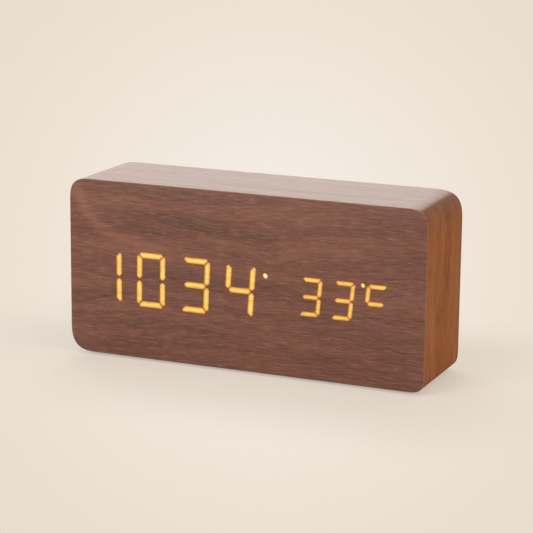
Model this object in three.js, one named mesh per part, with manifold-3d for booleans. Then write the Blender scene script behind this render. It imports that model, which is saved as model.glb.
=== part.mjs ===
// Digital alarm clock: a veneered block of MDF with lit seven-segment digits showing through its front film.
// Millimetres. The origin is on the surface that the clock stands on, under the middle of its block.
// X runs to the right seen from the front, Y from the front to the back, Z up.

import * as THREE from 'three';
import { mergeVertices } from 'three/addons/utils/BufferGeometryUtils.js';
import Module from 'manifold-3d';

const wasm = await Module();
wasm.setup();

const half = 0.5;

// Block
const CASE_WIDTH = 150;
const CASE_HEIGHT = 70.7;
const CASE_DEPTH = 41.6;
const CORNER_RADIUS = 7.4;
const FILM = 0.5;
const GLUE_LINE = 0.1;
const SIDE_WALL = 5;
const FRONT_WALL = 4;
const EDGE_ROUND = 0.3;
const FOOT_HEIGHT = 1;
const FOOT_RADIUS = 4;
const FOOT_INSET_X = 15;
const FOOT_INSET_Y = 8.5;
const BACK_BOARD = 5;
const BOARD_REBATE = 2.5;

// Digits as they show on the front. The first and the last stand at a set distance from the block's sides,
// and the shares give the pitches and places between them, and how much of its pitch a digit fills.
const DIGIT_INSET_LEFT = 16.75;
const DIGIT_INSET_RIGHT = 20;
const DIGIT_SPAN = CASE_WIDTH - DIGIT_INSET_LEFT - DIGIT_INSET_RIGHT;
const bigShares = { first: 0, pitch: 0.16865, column: 0.5288, middle: -0.04385 };
const smallShares = { first: 0.76689, pitch: 0.116555, column: 0.5303, middle: -0.03748 };
const alarmDotShare = 0.60088;
const degreeDotShare = 0.537;
const BIG_BAR = { row: 9.85, width: 2.1 };
const SMALL_BAR = { row: 6.75, width: 1.5 };
const BIG = digitStyle(bigShares, BIG_BAR);
const SMALL = digitStyle(smallShares, SMALL_BAR);
const ALARM_DOT = { rise: 7, radius: 0.92 };
const DEGREE_DOT = { rise: 6.9, radius: 0.8 };
const COLON = { rise: 4.9, radius: 0.9, lean: 1.5 };

// Display stack behind the film
const DISPLAY_MARGIN_X = 2.65;
const DISPLAY_MARGIN_Z = 5.3;
const DISPLAY_CORNER = 2;
const MASK_PLATE = 2.4;
const MASK_WALL = 1.5;
const MASK_DEPTH = 8.4;
const MASK_FLANGE = 2;
const MASK_FLANGE_THICKNESS = 1.2;
const BAR_CLEARANCE = 0.06;
const WEB_THICKNESS = 1;
const WEB_MARGIN = 0.1;
const LED_HEIGHT = 0.8;
const LED_SIZE = 1.2;
const LED_GAP = 0.5;
const CIRCUIT_BOARD = 1.6;
const POST_RADIUS = 1.6;
const PEG_RADIUS = 0.9;
const PEG_HEAD_RADIUS = 1.5;
const PEG_HEAD_HEIGHT = 0.9;
const POST_GAP = 0.3;

// Shared clearances
const SEAT_GAP = 0.1;
const FIT_GAP = 0.3;
const CUT_OVERRUN = 2;

// Back housing
const FLANGE_MARGIN_X = 10;
const FLANGE_MARGIN_Z = 10.85;
const FLANGE_CORNER = 4;
const FLANGE_THICKNESS = 1.8;
const FLANGE_RECESS = 0.3;
const HOUSING_LEDGE_X = 5.5;
const HOUSING_LEDGE_Z = 4.5;
const HOUSING_CORNER = 3;
const HOUSING_WALL = 1.8;
const TRAY_DEPTH = 11.5;
const SCREW_INSET_X = 3.2;
const SCREW_INSET_Z = 2.4;

// Control panel, sunk into the flange
const PANEL_MARGIN_LEFT = 1.7;
const PANEL_MARGIN_RIGHT = 3;
const PANEL_MARGIN_Z = 0.7;
const PANEL_CORNER = 2.5;
const PANEL_SINK = 1.2;
const PANEL_THICKNESS = 1.6;

// Batteries, their bay and its door
const CELL_RADIUS = 5.25;
const CELL_LENGTH = 44.5;
const CELL_NUB_RADIUS = 1.9;
const CELL_NUB_LENGTH = 0.8;
const CELL_EDGE = 0.6;
const CELL_SPACING = 11;
const CELL_TOP_GAP = 0.8;
const BAY_RIM = 3;
const BAY_WALL = 2.6;
const BAY_FLOOR = 1.5;
const BAY_SIDE_GAP = 0.3;
const RIB_THICKNESS = 1.2;
const RIB_RISE = 3.2;
const ribShares = [0.25, 0.75];
const DOOR_THICKNESS = 1.6;
const DOOR_LEDGE = 1.2;
const DOOR_GAP = 0.25;
const DOOR_CORNER = 1.5;
const TAB = { width: 7, toe: 1.2, thickness: 1.2, root: 2, neck: 0.4, inset: 8 };
const LATCH = {
  width: 10, slot: 0.8, length: 8, leg: 1, reach: 2.4, nose: 0.25, wallGap: 0.6, noseHeight: 0.7,
};
const RIDGE = { count: 4, spacing: 1.5, width: 0.7, height: 0.2, length: 7 };
const SPRING = { length: 3.6, turns: 3, baseRadius: 3.6, tipRadius: 1.9, wireWidth: 0.6, steps: 8, sides: 5 };
const PLATE = { thickness: 0.4, width: 9, height: 9.2, corner: 0.8, tabWidth: 3, tabReach: 1.3 };

// Controls. Their places are shares of the panel: across from its left side, and up from its middle.
const keyRowShares = { first: 0.3898, pitch: 0.22034, up: 0.2857 };
const keyCapShares = { radius: 0.2538, flange: 0.3308, crown: 0.5, crownEdge: 0.3 };
const leverShares = { across: 0.1271, up: -0.4571, groove: 0.22, grooveWidth: 0.15, grooveDepth: 0.3 };
const usbShares = { across: 0.1271, up: 0.2857, narrow: 0.35, shoulder: 0.1, tongue: 0.12 };
const microphoneShares = { across: 0.3898, up: -0.5143 };
const buzzerShares = { across: 0.7203, up: -0.4571, mouth: 0.2 };
const sensorShares = { across: 0.3898, up: 0.8 };
const KEY = { flangeThickness: 0.8, proud: 1.1, dome: 0.35, gap: 0.2 };
const KEY_SWITCH = { side: 6, height: 3.3, hole: 1.85, plunger: 1.75, floor: 0.6, sunk: 1.2, foot: 0.5 };
const LEVER = { size: 1.8, travel: 2, proud: 0.9, sunk: 1.6 };
const SLIDE_SWITCH = { length: 8.6, width: 3.7, height: 3.4, wall: 0.6 };
const USB = { width: 7.5, height: 2.7, depth: 5.6, wall: 0.35, tongue: 0.55, tongueWidth: 4.4 };
const MICROPHONE = { radius: 2, height: 4, hole: 0.75 };
const BUZZER = { radius: 5.5, height: 4.4, hole: 0.6, ring: 2.6, holeCount: 6 };
const SENSOR = { bead: 1.1, rise: 3, leg: 0.25, legSpacing: 1.2 };
const VENT = { count: 5, spacing: 2.2, width: 1, height: 4 };

// Main board and what it carries on its inner face. A part's place is its share of the play that the board
// leaves it: across from the board's left side, and up from its middle.
const BOARD_GAP = 5.2;
const BOARD_MARGIN = 0.4;
const BOSS_RADIUS = 2.2;
const BOSS_INSET_X = 4.2;
const BOSS_INSET_Z = 3.2;
const chipShares = { across: 0.68, up: 0.308 };
const crystalShares = { across: 0.85, up: 0.671 };
const capacitorShares = { across: 0.359, up: 0.588, bead: 0.1, groove: [0.6, 0.5, 0.4] };
const coinShares = { across: 0.1, up: -0.388, rim: 0.25 };
const ribbonShares = { across: 0.5386, up: -0.886, displayUp: -0.637 };
const CHIP = {
  width: 10.3, height: 7.6, thickness: 2, leg: 0.4, legSpacing: 1.27, legCount: 8, footLength: 1,
};
const CRYSTAL = { radius: 1.4, length: 7.4 };
const CAPACITOR = { radius: 2.5, height: 7 };
const COIN = { radius: 6.25, thickness: 2, gap: 0.3, wall: 0.95, height: 3.2, arm: 4.5 };
const SCREW = { head: 1.9, headHeight: 1.1, shank: 1.05, length: 8, tip: 1, cross: 0.5, crossDepth: 0.7 };
const BOARD_SCREW_LENGTH = 5;
const LEAD_RADIUS = 0.6;
const LEAD_BOARD_INSET = 3.5;
const LEAD_BOARD_Z = 4;
const RIBBON = { width: 12.7, thickness: 0.9, plugWidth: 15, plugDepth: 4, plugHeight: 5 };

// Facets
const BLOCK_ARC_STEPS = 5;
const ARC_STEPS = 2;
const PATH_STEPS = 14;
const ROUND_SIDES = 16;
const FINE_SIDES = 10;
const HOLE_SIDES = 8;
const LEAD_SIDES = 6;

// Places worked out from the values above
const FRONT_Y = -CASE_DEPTH * half;
const BACK_Y = CASE_DEPTH * half;
const MIDDLE_Z = FOOT_HEIGHT + CASE_HEIGHT * half;
const SKIN = FILM + GLUE_LINE;
const FRONT_WALL_BACK_Y = FRONT_Y + SKIN + FRONT_WALL;
const CASE_BACK_Y = BACK_Y - SKIN;
const DISPLAY_Z = MIDDLE_Z + BIG.middleZ;
const DISPLAY_LEFT = BIG.firstX - (BIG.column + BIG.bar) * half - DISPLAY_MARGIN_X;
const LAST_DIGIT_X = SMALL.firstX + SMALL.pitch + SMALL.pitch;
const DISPLAY_RIGHT = LAST_DIGIT_X + (SMALL.column + SMALL.bar) * half + DISPLAY_MARGIN_X;
const DISPLAY_HEIGHT = BIG.row + BIG.row + BIG.bar + DISPLAY_MARGIN_Z + DISPLAY_MARGIN_Z;
const POST_RISE = DISPLAY_HEIGHT * half - MASK_WALL - POST_RADIUS - POST_GAP;
const MASK_FRONT_Y = FRONT_Y + SKIN;
const MASK_PLATE_BACK_Y = MASK_FRONT_Y + MASK_PLATE;
const WEB_BACK_Y = MASK_PLATE_BACK_Y + SEAT_GAP + WEB_THICKNESS;
const DISPLAY_BOARD_Y = WEB_BACK_Y + LED_GAP + LED_HEIGHT;
const FLANGE_WIDTH = CASE_WIDTH - FLANGE_MARGIN_X - FLANGE_MARGIN_X;
const FLANGE_HEIGHT = CASE_HEIGHT - FLANGE_MARGIN_Z - FLANGE_MARGIN_Z;
const HOUSING_WIDTH = FLANGE_WIDTH - HOUSING_LEDGE_X - HOUSING_LEDGE_X;
const HOUSING_HEIGHT = FLANGE_HEIGHT - HOUSING_LEDGE_Z - HOUSING_LEDGE_Z;
const SCREW_X = FLANGE_WIDTH * half - SCREW_INSET_X;
const SCREW_Z = FLANGE_HEIGHT * half - SCREW_INSET_Z;
const FLANGE_Y = BACK_Y - FLANGE_RECESS;
const FLANGE_INNER_Y = FLANGE_Y - FLANGE_THICKNESS;
const PANEL_Y = FLANGE_Y - PANEL_SINK;
const PANEL_INNER_Y = PANEL_Y - PANEL_THICKNESS;
const DOOR_INNER_Y = FLANGE_Y - DOOR_THICKNESS;
const CELL_Y = DOOR_INNER_Y - CELL_TOP_GAP - CELL_RADIUS;
const BAY_FLOOR_Y = CELL_Y - CELL_RADIUS - FIT_GAP;
const BAY_BOTTOM_Y = BAY_FLOOR_Y - BAY_FLOOR;
const BAY_LENGTH = CELL_LENGTH + SPRING.length + SEAT_GAP + SEAT_GAP;
const BAY_RIGHT = HOUSING_WIDTH * half - BAY_WALL;
const BAY_LEFT = BAY_RIGHT - BAY_LENGTH;
const BAY_X = (BAY_LEFT + BAY_RIGHT) * half;
const CELL_ROOM = HOUSING_HEIGHT - BAY_RIM - BAY_RIM - BAY_SIDE_GAP - BAY_SIDE_GAP;
const CELL_COUNT = Math.floor(CELL_ROOM / CELL_SPACING);
const BAY_HEIGHT = CELL_COUNT * CELL_SPACING + BAY_SIDE_GAP + BAY_SIDE_GAP;
const DOOR_WIDTH = BAY_LENGTH + DOOR_LEDGE + DOOR_LEDGE;
const DOOR_HEIGHT = BAY_HEIGHT + DOOR_LEDGE + DOOR_LEDGE;
const DOOR_LOW_Z = MIDDLE_Z - DOOR_HEIGHT * half;
const DOOR_HIGH_Z = MIDDLE_Z + DOOR_HEIGHT * half;
const BOARD_BACK_Y = PANEL_INNER_Y - BOARD_GAP;
const BOARD_FRONT_Y = BOARD_BACK_Y - CIRCUIT_BOARD;
const TRAY_LEFT = -HOUSING_WIDTH * half + HOUSING_WALL;
const TRAY_RIGHT = BAY_LEFT - BAY_WALL;
const TRAY_HEIGHT = HOUSING_HEIGHT - HOUSING_WALL - HOUSING_WALL;
const TRAY_X = (TRAY_LEFT + TRAY_RIGHT) * half;
const PANEL_LEFT = TRAY_LEFT + PANEL_MARGIN_LEFT;
const PANEL_WIDTH = TRAY_RIGHT - PANEL_MARGIN_RIGHT - PANEL_LEFT;
const PANEL_HEIGHT = TRAY_HEIGHT - PANEL_MARGIN_Z - PANEL_MARGIN_Z;
const KEY_PITCH = PANEL_WIDTH * keyRowShares.pitch;
const KEY_RADIUS = KEY_PITCH * keyCapShares.radius;
const KEY_FLANGE = KEY_PITCH * keyCapShares.flange;
const BOARD_WIDTH = TRAY_RIGHT - TRAY_LEFT - BOARD_MARGIN - BOARD_MARGIN;
const BOARD_HEIGHT = TRAY_HEIGHT - BOARD_MARGIN - BOARD_MARGIN;
const COIN_HOLDER_RADIUS = COIN.radius + COIN.gap + COIN.wall;

const keys = ['set', 'up', 'down'].map((name, index) => ({
  name, x: panelX(keyRowShares.first + keyRowShares.pitch * index), z: panelZ(keyRowShares.up),
}));
const lever = { x: panelX(leverShares.across), z: panelZ(leverShares.up) };
const usb = { x: panelX(usbShares.across), z: panelZ(usbShares.up) };
const microphone = { x: panelX(microphoneShares.across), z: panelZ(microphoneShares.up) };
const buzzer = { x: panelX(buzzerShares.across), z: panelZ(buzzerShares.up) };
const sensor = { x: panelX(sensorShares.across), z: panelZ(sensorShares.up) };
const bosses = [
  { x: TRAY_LEFT + BOSS_INSET_X, z: MIDDLE_Z - TRAY_HEIGHT * half + BOSS_INSET_Z },
  { x: TRAY_RIGHT - BOSS_INSET_X, z: MIDDLE_Z + TRAY_HEIGHT * half - BOSS_INSET_Z },
];
const chip = {
  x: boardX(chipShares.across, CHIP.width), z: boardZ(chipShares.up, CHIP.height + CHIP.footLength * 2),
};
const crystal = {
  x: boardX(crystalShares.across, CRYSTAL.length), z: boardZ(crystalShares.up, CRYSTAL.radius * 2),
};
const capacitor = {
  x: boardX(capacitorShares.across, CAPACITOR.radius * 2),
  z: boardZ(capacitorShares.up, CAPACITOR.radius * 2),
};
const coin = {
  x: boardX(coinShares.across, COIN_HOLDER_RADIUS * 2), z: boardZ(coinShares.up, COIN_HOLDER_RADIUS * 2),
};
const ribbon = {
  x: boardX(ribbonShares.across, RIBBON.plugWidth),
  z: boardZ(ribbonShares.up, RIBBON.plugDepth),
  displayZ: DISPLAY_Z + ribbonShares.displayUp * (DISPLAY_HEIGHT - RIBBON.plugDepth) * half,
};

// A digit's sizes across, from its shares of the row of digits
function digitStyle(shares, size) {
  const pitch = DIGIT_SPAN * shares.pitch;
  return {
    row: size.row,
    bar: size.width,
    pitch,
    column: pitch * shares.column,
    firstX: DIGIT_SPAN * shares.first + DIGIT_INSET_LEFT - CASE_WIDTH * half,
    middleZ: CASE_HEIGHT * shares.middle,
  };
}

// Places on the control panel and on the main board
function panelX(share) {
  return PANEL_LEFT + PANEL_WIDTH * share;
}

function panelZ(share) {
  return MIDDLE_Z + PANEL_HEIGHT * half * share;
}

function boardX(share, size) {
  return TRAY_X + (BOARD_WIDTH - size) * (share - half);
}

function boardZ(share, size) {
  return MIDDLE_Z + (BOARD_HEIGHT - size) * half * share;
}

// Materials, in the colours of the photographed clock
function material(color, roughness, metalness) {
  return new THREE.MeshStandardMaterial({ color, roughness, metalness });
}
const walnut = material(0x7a5347, 0.55, 0);
const walnutBand = material(0x8f5b3b, 0.55, 0);
const mdf = material(0xb08c62, 0.9, 0);
const blackPlastic = material(0x1d1d1f, 0.5, 0);
const keyPlastic = material(0x2b2b2e, 0.4, 0);
const rubber = material(0x202020, 0.85, 0);
const litAmber = new THREE.MeshStandardMaterial({ color: 0xffc860, emissive: 0xffb040, roughness: 0.5 });
const frosted = material(0xe9e4d8, 0.5, 0);
const boardGreen = material(0x1f5a37, 0.45, 0);
const steel = material(0xb9bcc0, 0.3, 1);
const nickel = material(0xc9c7c0, 0.25, 1);
const cellJacket = material(0x3c4a57, 0.4, 0.3);
const ivory = material(0xe6e0cf, 0.6, 0);
const epoxy = material(0x151515, 0.5, 0);
const redWire = material(0xa5261f, 0.5, 0);
const blackWire = material(0x19191a, 0.5, 0);
const greyRibbon = material(0x9a9da1, 0.6, 0);

const clock = new THREE.Group();

// Solids
function toSolid(geometry) {
  const bare = geometry.clone();
  bare.deleteAttribute('normal');
  bare.deleteAttribute('uv');
  const merged = mergeVertices(bare, 1e-4);
  const mesh = new wasm.Mesh({
    numProp: 3,
    vertProperties: Float32Array.from(merged.attributes.position.array),
    triVerts: Uint32Array.from(merged.index.array),
  });
  return new wasm.Manifold(mesh);
}

function toGeometry(solid) {
  const mesh = solid.getMesh();
  const geometry = new THREE.BufferGeometry();
  geometry.setAttribute('position', new THREE.BufferAttribute(mesh.vertProperties, mesh.numProp));
  geometry.setIndex(new THREE.BufferAttribute(mesh.triVerts, 1));
  geometry.computeVertexNormals();
  return geometry;
}

function addPiece(name, solid, look) {
  const mesh = new THREE.Mesh(toGeometry(solid), look);
  mesh.name = name;
  clock.add(mesh);
}

function joined(solids) {
  return solids.reduce((whole, next) => whole.add(next));
}

function cutAll(solid, cutters) {
  return cutters.reduce((rest, cutter) => rest.subtract(cutter), solid);
}

// A rectangle with round corners in the X-Z plane
function roundedRectangle(width, height, radius, x, z) {
  const shape = new THREE.Shape();
  const left = x - width * half;
  const right = x + width * half;
  const low = z - height * half;
  const high = z + height * half;
  shape.moveTo(left + radius, low);
  shape.lineTo(right - radius, low);
  shape.absarc(right - radius, low + radius, radius, -Math.PI / 2, 0, false);
  shape.lineTo(right, high - radius);
  shape.absarc(right - radius, high - radius, radius, 0, Math.PI / 2, false);
  shape.lineTo(left + radius, high);
  shape.absarc(left + radius, high - radius, radius, Math.PI / 2, Math.PI, false);
  shape.lineTo(left, low + radius);
  shape.absarc(left + radius, low + radius, radius, Math.PI, Math.PI * 1.5, false);
  return shape;
}

// The outline of the block, drawn in by an inset
function blockOutline(inset) {
  const width = CASE_WIDTH - inset - inset;
  const height = CASE_HEIGHT - inset - inset;
  return roundedRectangle(width, height, Math.max(CORNER_RADIUS - inset, EDGE_ROUND), 0, MIDDLE_Z);
}

// A flat outline in the X-Z plane, given thickness from nearY to farY
function slab(shape, nearY, farY, curveSegments = ARC_STEPS) {
  const options = { depth: farY - nearY, bevelEnabled: false, curveSegments };
  const geometry = new THREE.ExtrudeGeometry(shape, options);
  geometry.rotateX(Math.PI / 2);
  geometry.translate(0, farY, 0);
  return toSolid(geometry);
}

function polygonShape(points) {
  return new THREE.Shape(points.map(([x, z]) => new THREE.Vector2(x, z)));
}

function block(lowX, highX, lowY, highY, lowZ, highZ) {
  const geometry = new THREE.BoxGeometry(highX - lowX, highY - lowY, highZ - lowZ);
  geometry.translate((lowX + highX) * half, (lowY + highY) * half, (lowZ + highZ) * half);
  return toSolid(geometry);
}

// A box centred on x and z, from nearY to farY
function standing(x, z, width, height, nearY, farY) {
  return block(x - width * half, x + width * half, nearY, farY, z - height * half, z + height * half);
}

// A turned piece with its axis along Y: the profile holds [radius, y] pairs
function turnedY(profile, x, z, sides = ROUND_SIDES) {
  const points = profile.map(([radius, y]) => new THREE.Vector2(radius, y));
  const geometry = new THREE.LatheGeometry(points, sides);
  geometry.translate(x, 0, z);
  return toSolid(geometry);
}

function rod(radius, nearY, farY, x, z, sides = FINE_SIDES) {
  return turnedY([[0, nearY], [radius, nearY], [radius, farY], [0, farY]], x, z, sides);
}

// Front film, edge band and back film
function filmSheet(nearY, farY, softY) {
  const geometry = new THREE.ExtrudeGeometry(blockOutline(EDGE_ROUND), {
    depth: FILM,
    bevelThickness: EDGE_ROUND,
    bevelSize: EDGE_ROUND,
    bevelSegments: 1,
    curveSegments: BLOCK_ARC_STEPS,
  });
  geometry.rotateX(Math.PI / 2);
  const softened = softY === nearY ? nearY + EDGE_ROUND + FILM : farY - EDGE_ROUND;
  geometry.translate(0, softened, 0);
  return toSolid(geometry).intersect(slab(blockOutline(-CUT_OVERRUN), nearY, farY, BLOCK_ARC_STEPS));
}

// Seven-segment digits. A bar's end is drawn in shares of half its width, from the node that it points to.
const cornerEndShares = [[-1, 1.32], [0.25, 0.08], [1, 0.5]];
const middleEndShares = [[-1, 1.35], [-0.3, 0.58], [0.3, 0.58], [1, 1.35]];
const barEnds = {
  a: [[-1, 1], [1, 1], 'corner', 'corner'],
  b: [[1, 1], [1, 0], 'corner', 'middle'],
  c: [[1, -1], [1, 0], 'corner', 'middle'],
  d: [[-1, -1], [1, -1], 'corner', 'corner'],
  e: [[-1, -1], [-1, 0], 'corner', 'middle'],
  f: [[-1, 1], [-1, 0], 'corner', 'middle'],
  g: [[-1, 0], [1, 0], 'middle', 'middle'],
};

// The lean of each digit grows from left to right, as the photograph shows it
const digits = [
  { name: 'hour_tens', style: BIG, column: 0, lean: 0, lit: 'bc' },
  { name: 'hour_units', style: BIG, column: 1, lean: 0.7, lit: 'abcdef' },
  { name: 'minute_tens', style: BIG, column: 2, lean: 2.3, lit: 'abcdg' },
  { name: 'minute_units', style: BIG, column: 3, lean: 3.7, lit: 'bcfg' },
  { name: 'degree_tens', style: SMALL, column: 0, lean: 5, lit: 'abcdg' },
  { name: 'degree_units', style: SMALL, column: 1, lean: 6, lit: 'abcdg' },
  { name: 'degree_sign', style: SMALL, column: 2, lean: 6, lit: 'afg' },
];

function digitX(digit) {
  return digit.style.firstX + digit.column * digit.style.pitch;
}

// A place in an upright digit, measured from its middle, moved to where the leaning digit has it
function leaned(digit, x, z) {
  const slope = Math.tan(THREE.MathUtils.degToRad(digit.lean));
  return [digitX(digit) + x + z * slope, MIDDLE_Z + digit.style.middleZ + z];
}

// One bar of a digit as a closed outline, grown all round by a margin
function barOutline(digit, bar, margin) {
  const { style } = digit;
  const [from, to, fromKind, toKind] = barEnds[bar];
  const start = new THREE.Vector2(from[0] * style.column * half, from[1] * style.row);
  const end = new THREE.Vector2(to[0] * style.column * half, to[1] * style.row);
  const along = end.clone().sub(start).normalize();
  const outward = new THREE.Vector2(-along.y, along.x);
  const middle = start.clone().add(end).multiplyScalar(half);
  if (outward.dot(middle) < 0) {
    outward.negate();
  }
  const halfBar = style.bar * half;
  const endPoints = (node, inward, kind) => {
    const shares = kind === 'corner' ? cornerEndShares : middleEndShares;
    return shares.map(([acrossShare, inShare]) => node.clone()
      .addScaledVector(outward, acrossShare * (halfBar + margin))
      .addScaledVector(inward, inShare * halfBar - margin));
  };
  const near = endPoints(start, along, fromKind);
  const far = endPoints(end, along.clone().negate(), toKind).reverse();
  return near.concat(far).map((point) => leaned(digit, point.x, point.y));
}

function barPrism(digit, bar, margin, nearY, farY) {
  return slab(polygonShape(barOutline(digit, bar, margin)), nearY, farY);
}

const allBars = 'abcdefg';
const dots = [
  { name: 'alarm_dot_guide', places: [alarmDotPlace()], radius: ALARM_DOT.radius, lit: true },
  { name: 'degree_dot_guide', places: [degreeDotPlace()], radius: DEGREE_DOT.radius, lit: true },
  { name: 'colon_guide', places: colonPlaces(), radius: COLON.radius, lit: false },
];

function alarmDotPlace() {
  return [BIG.firstX + DIGIT_SPAN * alarmDotShare, DISPLAY_Z + ALARM_DOT.rise];
}

// The degree dot stands in the gap between the last two columns, nearer to the letter
function degreeDotPlace() {
  const [nearX, z] = leaned(digits[5], 0, DEGREE_DOT.rise);
  const [farX] = leaned(digits[6], 0, DEGREE_DOT.rise);
  const play = (farX - nearX - SMALL.column - SMALL.bar) * half - WEB_MARGIN - WEB_MARGIN - DEGREE_DOT.radius;
  return [(nearX + farX) * half + play * degreeDotShare, z];
}

function colonPlaces() {
  const x = (digitX(digits[1]) + digitX(digits[2])) * half;
  const slope = Math.tan(THREE.MathUtils.degToRad(COLON.lean));
  return [-COLON.rise, COLON.rise].map((rise) => [x + rise * slope, DISPLAY_Z + rise]);
}

function litWindows() {
  const nearY = FRONT_Y - CUT_OVERRUN;
  const farY = FRONT_Y + FILM + CUT_OVERRUN;
  const cutters = [];
  for (const digit of digits) {
    for (const bar of digit.lit) {
      cutters.push(barPrism(digit, bar, BAR_CLEARANCE, nearY, farY));
    }
  }
  for (const dot of dots.filter((each) => each.lit)) {
    for (const [x, z] of dot.places) {
      cutters.push(rod(dot.radius + BAR_CLEARANCE, nearY, farY, x, z));
    }
  }
  return cutters;
}

function frontFilm() {
  return cutAll(filmSheet(FRONT_Y, FRONT_Y + FILM, FRONT_Y), litWindows());
}

function bandFilm() {
  const block = slab(blockOutline(0), FRONT_Y + FILM, BACK_Y - FILM, BLOCK_ARC_STEPS);
  const inside = slab(blockOutline(FILM), FRONT_Y - CUT_OVERRUN, BACK_Y + CUT_OVERRUN, BLOCK_ARC_STEPS);
  return block.subtract(inside);
}

function flangeOutline(gap) {
  const radius = FLANGE_CORNER + gap;
  return roundedRectangle(FLANGE_WIDTH + gap + gap, FLANGE_HEIGHT + gap + gap, radius, 0, MIDDLE_Z);
}

function housingOutline(gap) {
  const radius = HOUSING_CORNER + gap;
  return roundedRectangle(HOUSING_WIDTH + gap + gap, HOUSING_HEIGHT + gap + gap, radius, 0, MIDDLE_Z);
}

function backFilm() {
  const sheet = filmSheet(BACK_Y - FILM, BACK_Y, BACK_Y);
  return sheet.subtract(slab(flangeOutline(FIT_GAP), FRONT_Y, BACK_Y + CUT_OVERRUN));
}

// MDF case, milled hollow from behind: the front wall has the display opening, the rim a rebate for the board
function caseBody() {
  const cavityInset = SKIN + SIDE_WALL;
  const rebateInset = cavityInset - BOARD_REBATE;
  const displayHole = displayOutline(SEAT_GAP);
  return cutAll(slab(blockOutline(SKIN), FRONT_Y + SKIN, CASE_BACK_Y, BLOCK_ARC_STEPS), [
    slab(blockOutline(cavityInset), FRONT_WALL_BACK_Y, BACK_Y),
    slab(blockOutline(rebateInset), CASE_BACK_Y - BACK_BOARD - SEAT_GAP, BACK_Y),
    slab(displayHole, FRONT_Y, FRONT_WALL_BACK_Y + CUT_OVERRUN),
  ]);
}

function backBoard() {
  const inset = SKIN + SIDE_WALL - BOARD_REBATE + SEAT_GAP;
  const board = slab(blockOutline(inset), CASE_BACK_Y - BACK_BOARD, CASE_BACK_Y);
  const holes = screwPlaces().map(([x, z]) => rod(SCREW.shank + SEAT_GAP, FRONT_Y, BACK_Y, x, z));
  return cutAll(board, [
    slab(flangeOutline(FIT_GAP), FLANGE_INNER_Y - SEAT_GAP, BACK_Y),
    slab(housingOutline(FIT_GAP), FRONT_Y, BACK_Y),
    ...holes,
  ]);
}

function screwPlaces() {
  const places = [];
  for (const sideX of [-1, 1]) {
    for (const sideZ of [-1, 1]) {
      places.push([sideX * SCREW_X, MIDDLE_Z + sideZ * SCREW_Z]);
    }
  }
  return places;
}

// Rubber feet under the block
function addFeet() {
  let number = 1;
  for (const sideX of [-1, 1]) {
    for (const sideY of [-1, 1]) {
      const geometry = new THREE.CylinderGeometry(FOOT_RADIUS, FOOT_RADIUS, FOOT_HEIGHT, ROUND_SIDES);
      geometry.rotateX(Math.PI / 2);
      const x = sideX * (CASE_WIDTH * half - FOOT_INSET_X);
      const y = sideY * (CASE_DEPTH * half - FOOT_INSET_Y);
      geometry.translate(x, y, FOOT_HEIGHT * half);
      addPiece(`foot_${number}`, toSolid(geometry), rubber);
      number += 1;
    }
  }
}

// Display: a black mask with a well for each bar, light guides in the wells and the LED board behind
function displayOutline(gap) {
  const width = DISPLAY_RIGHT - DISPLAY_LEFT + gap + gap;
  const height = DISPLAY_HEIGHT + gap + gap;
  const radius = Math.max(DISPLAY_CORNER + gap, EDGE_ROUND);
  return roundedRectangle(width, height, radius, (DISPLAY_LEFT + DISPLAY_RIGHT) * half, DISPLAY_Z);
}

function postPlaces() {
  const between = [
    digitX(digits[0]) + BIG.pitch * half,
    digitX(digits[4]) + SMALL.pitch * half,
  ];
  return between.flatMap((x) => [[x, DISPLAY_Z - POST_RISE], [x, DISPLAY_Z + POST_RISE]]);
}

function displayMask() {
  const backY = MASK_FRONT_Y + MASK_DEPTH;
  const flangeY = FRONT_WALL_BACK_Y + SEAT_GAP;
  const body = slab(displayOutline(0), MASK_FRONT_Y, backY);
  const flange = slab(displayOutline(MASK_FLANGE), flangeY, flangeY + MASK_FLANGE_THICKNESS);
  const recess = slab(displayOutline(-MASK_WALL), MASK_PLATE_BACK_Y, backY + CUT_OVERRUN);
  const wells = [];
  for (const digit of digits) {
    for (const bar of allBars) {
      wells.push(barPrism(digit, bar, BAR_CLEARANCE, FRONT_Y, backY));
    }
  }
  for (const dot of dots) {
    for (const [x, z] of dot.places) {
      wells.push(rod(dot.radius + BAR_CLEARANCE, FRONT_Y, backY, x, z));
    }
  }
  const shell = cutAll(body.add(flange).subtract(recess), wells);
  return joined([shell, ...postPlaces().map(([x, z]) => stakedPost(x, z))]);
}

// A post that spaces the LED board, with its staked peg through the board
function stakedPost(x, z) {
  const boardBackY = DISPLAY_BOARD_Y + CIRCUIT_BOARD;
  const headY = boardBackY + SEAT_GAP;
  return turnedY([
    [0, MASK_PLATE_BACK_Y - MASK_PLATE * half],
    [POST_RADIUS, MASK_PLATE_BACK_Y - MASK_PLATE * half],
    [POST_RADIUS, DISPLAY_BOARD_Y - SEAT_GAP],
    [PEG_RADIUS, DISPLAY_BOARD_Y - SEAT_GAP],
    [PEG_RADIUS, headY],
    [PEG_HEAD_RADIUS, headY],
    [PEG_RADIUS, headY + PEG_HEAD_HEIGHT],
    [0, headY + PEG_HEAD_HEIGHT],
  ], x, z, HOLE_SIDES);
}

function digitGuide(digit) {
  const { style } = digit;
  const wide = style.column * half + style.bar * half + WEB_MARGIN;
  const tall = style.row + style.bar * half + WEB_MARGIN;
  const corners = [[-wide, -tall], [wide, -tall], [wide, tall], [-wide, tall]];
  const outline = polygonShape(corners.map(([x, z]) => leaned(digit, x, z)));
  const bars = [...allBars].map((bar) => {
    const tipY = digit.lit.includes(bar) ? FRONT_Y : MASK_FRONT_Y;
    return barPrism(digit, bar, 0, tipY, WEB_BACK_Y);
  });
  return joined([slab(outline, MASK_PLATE_BACK_Y + SEAT_GAP, WEB_BACK_Y), ...bars]);
}

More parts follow.
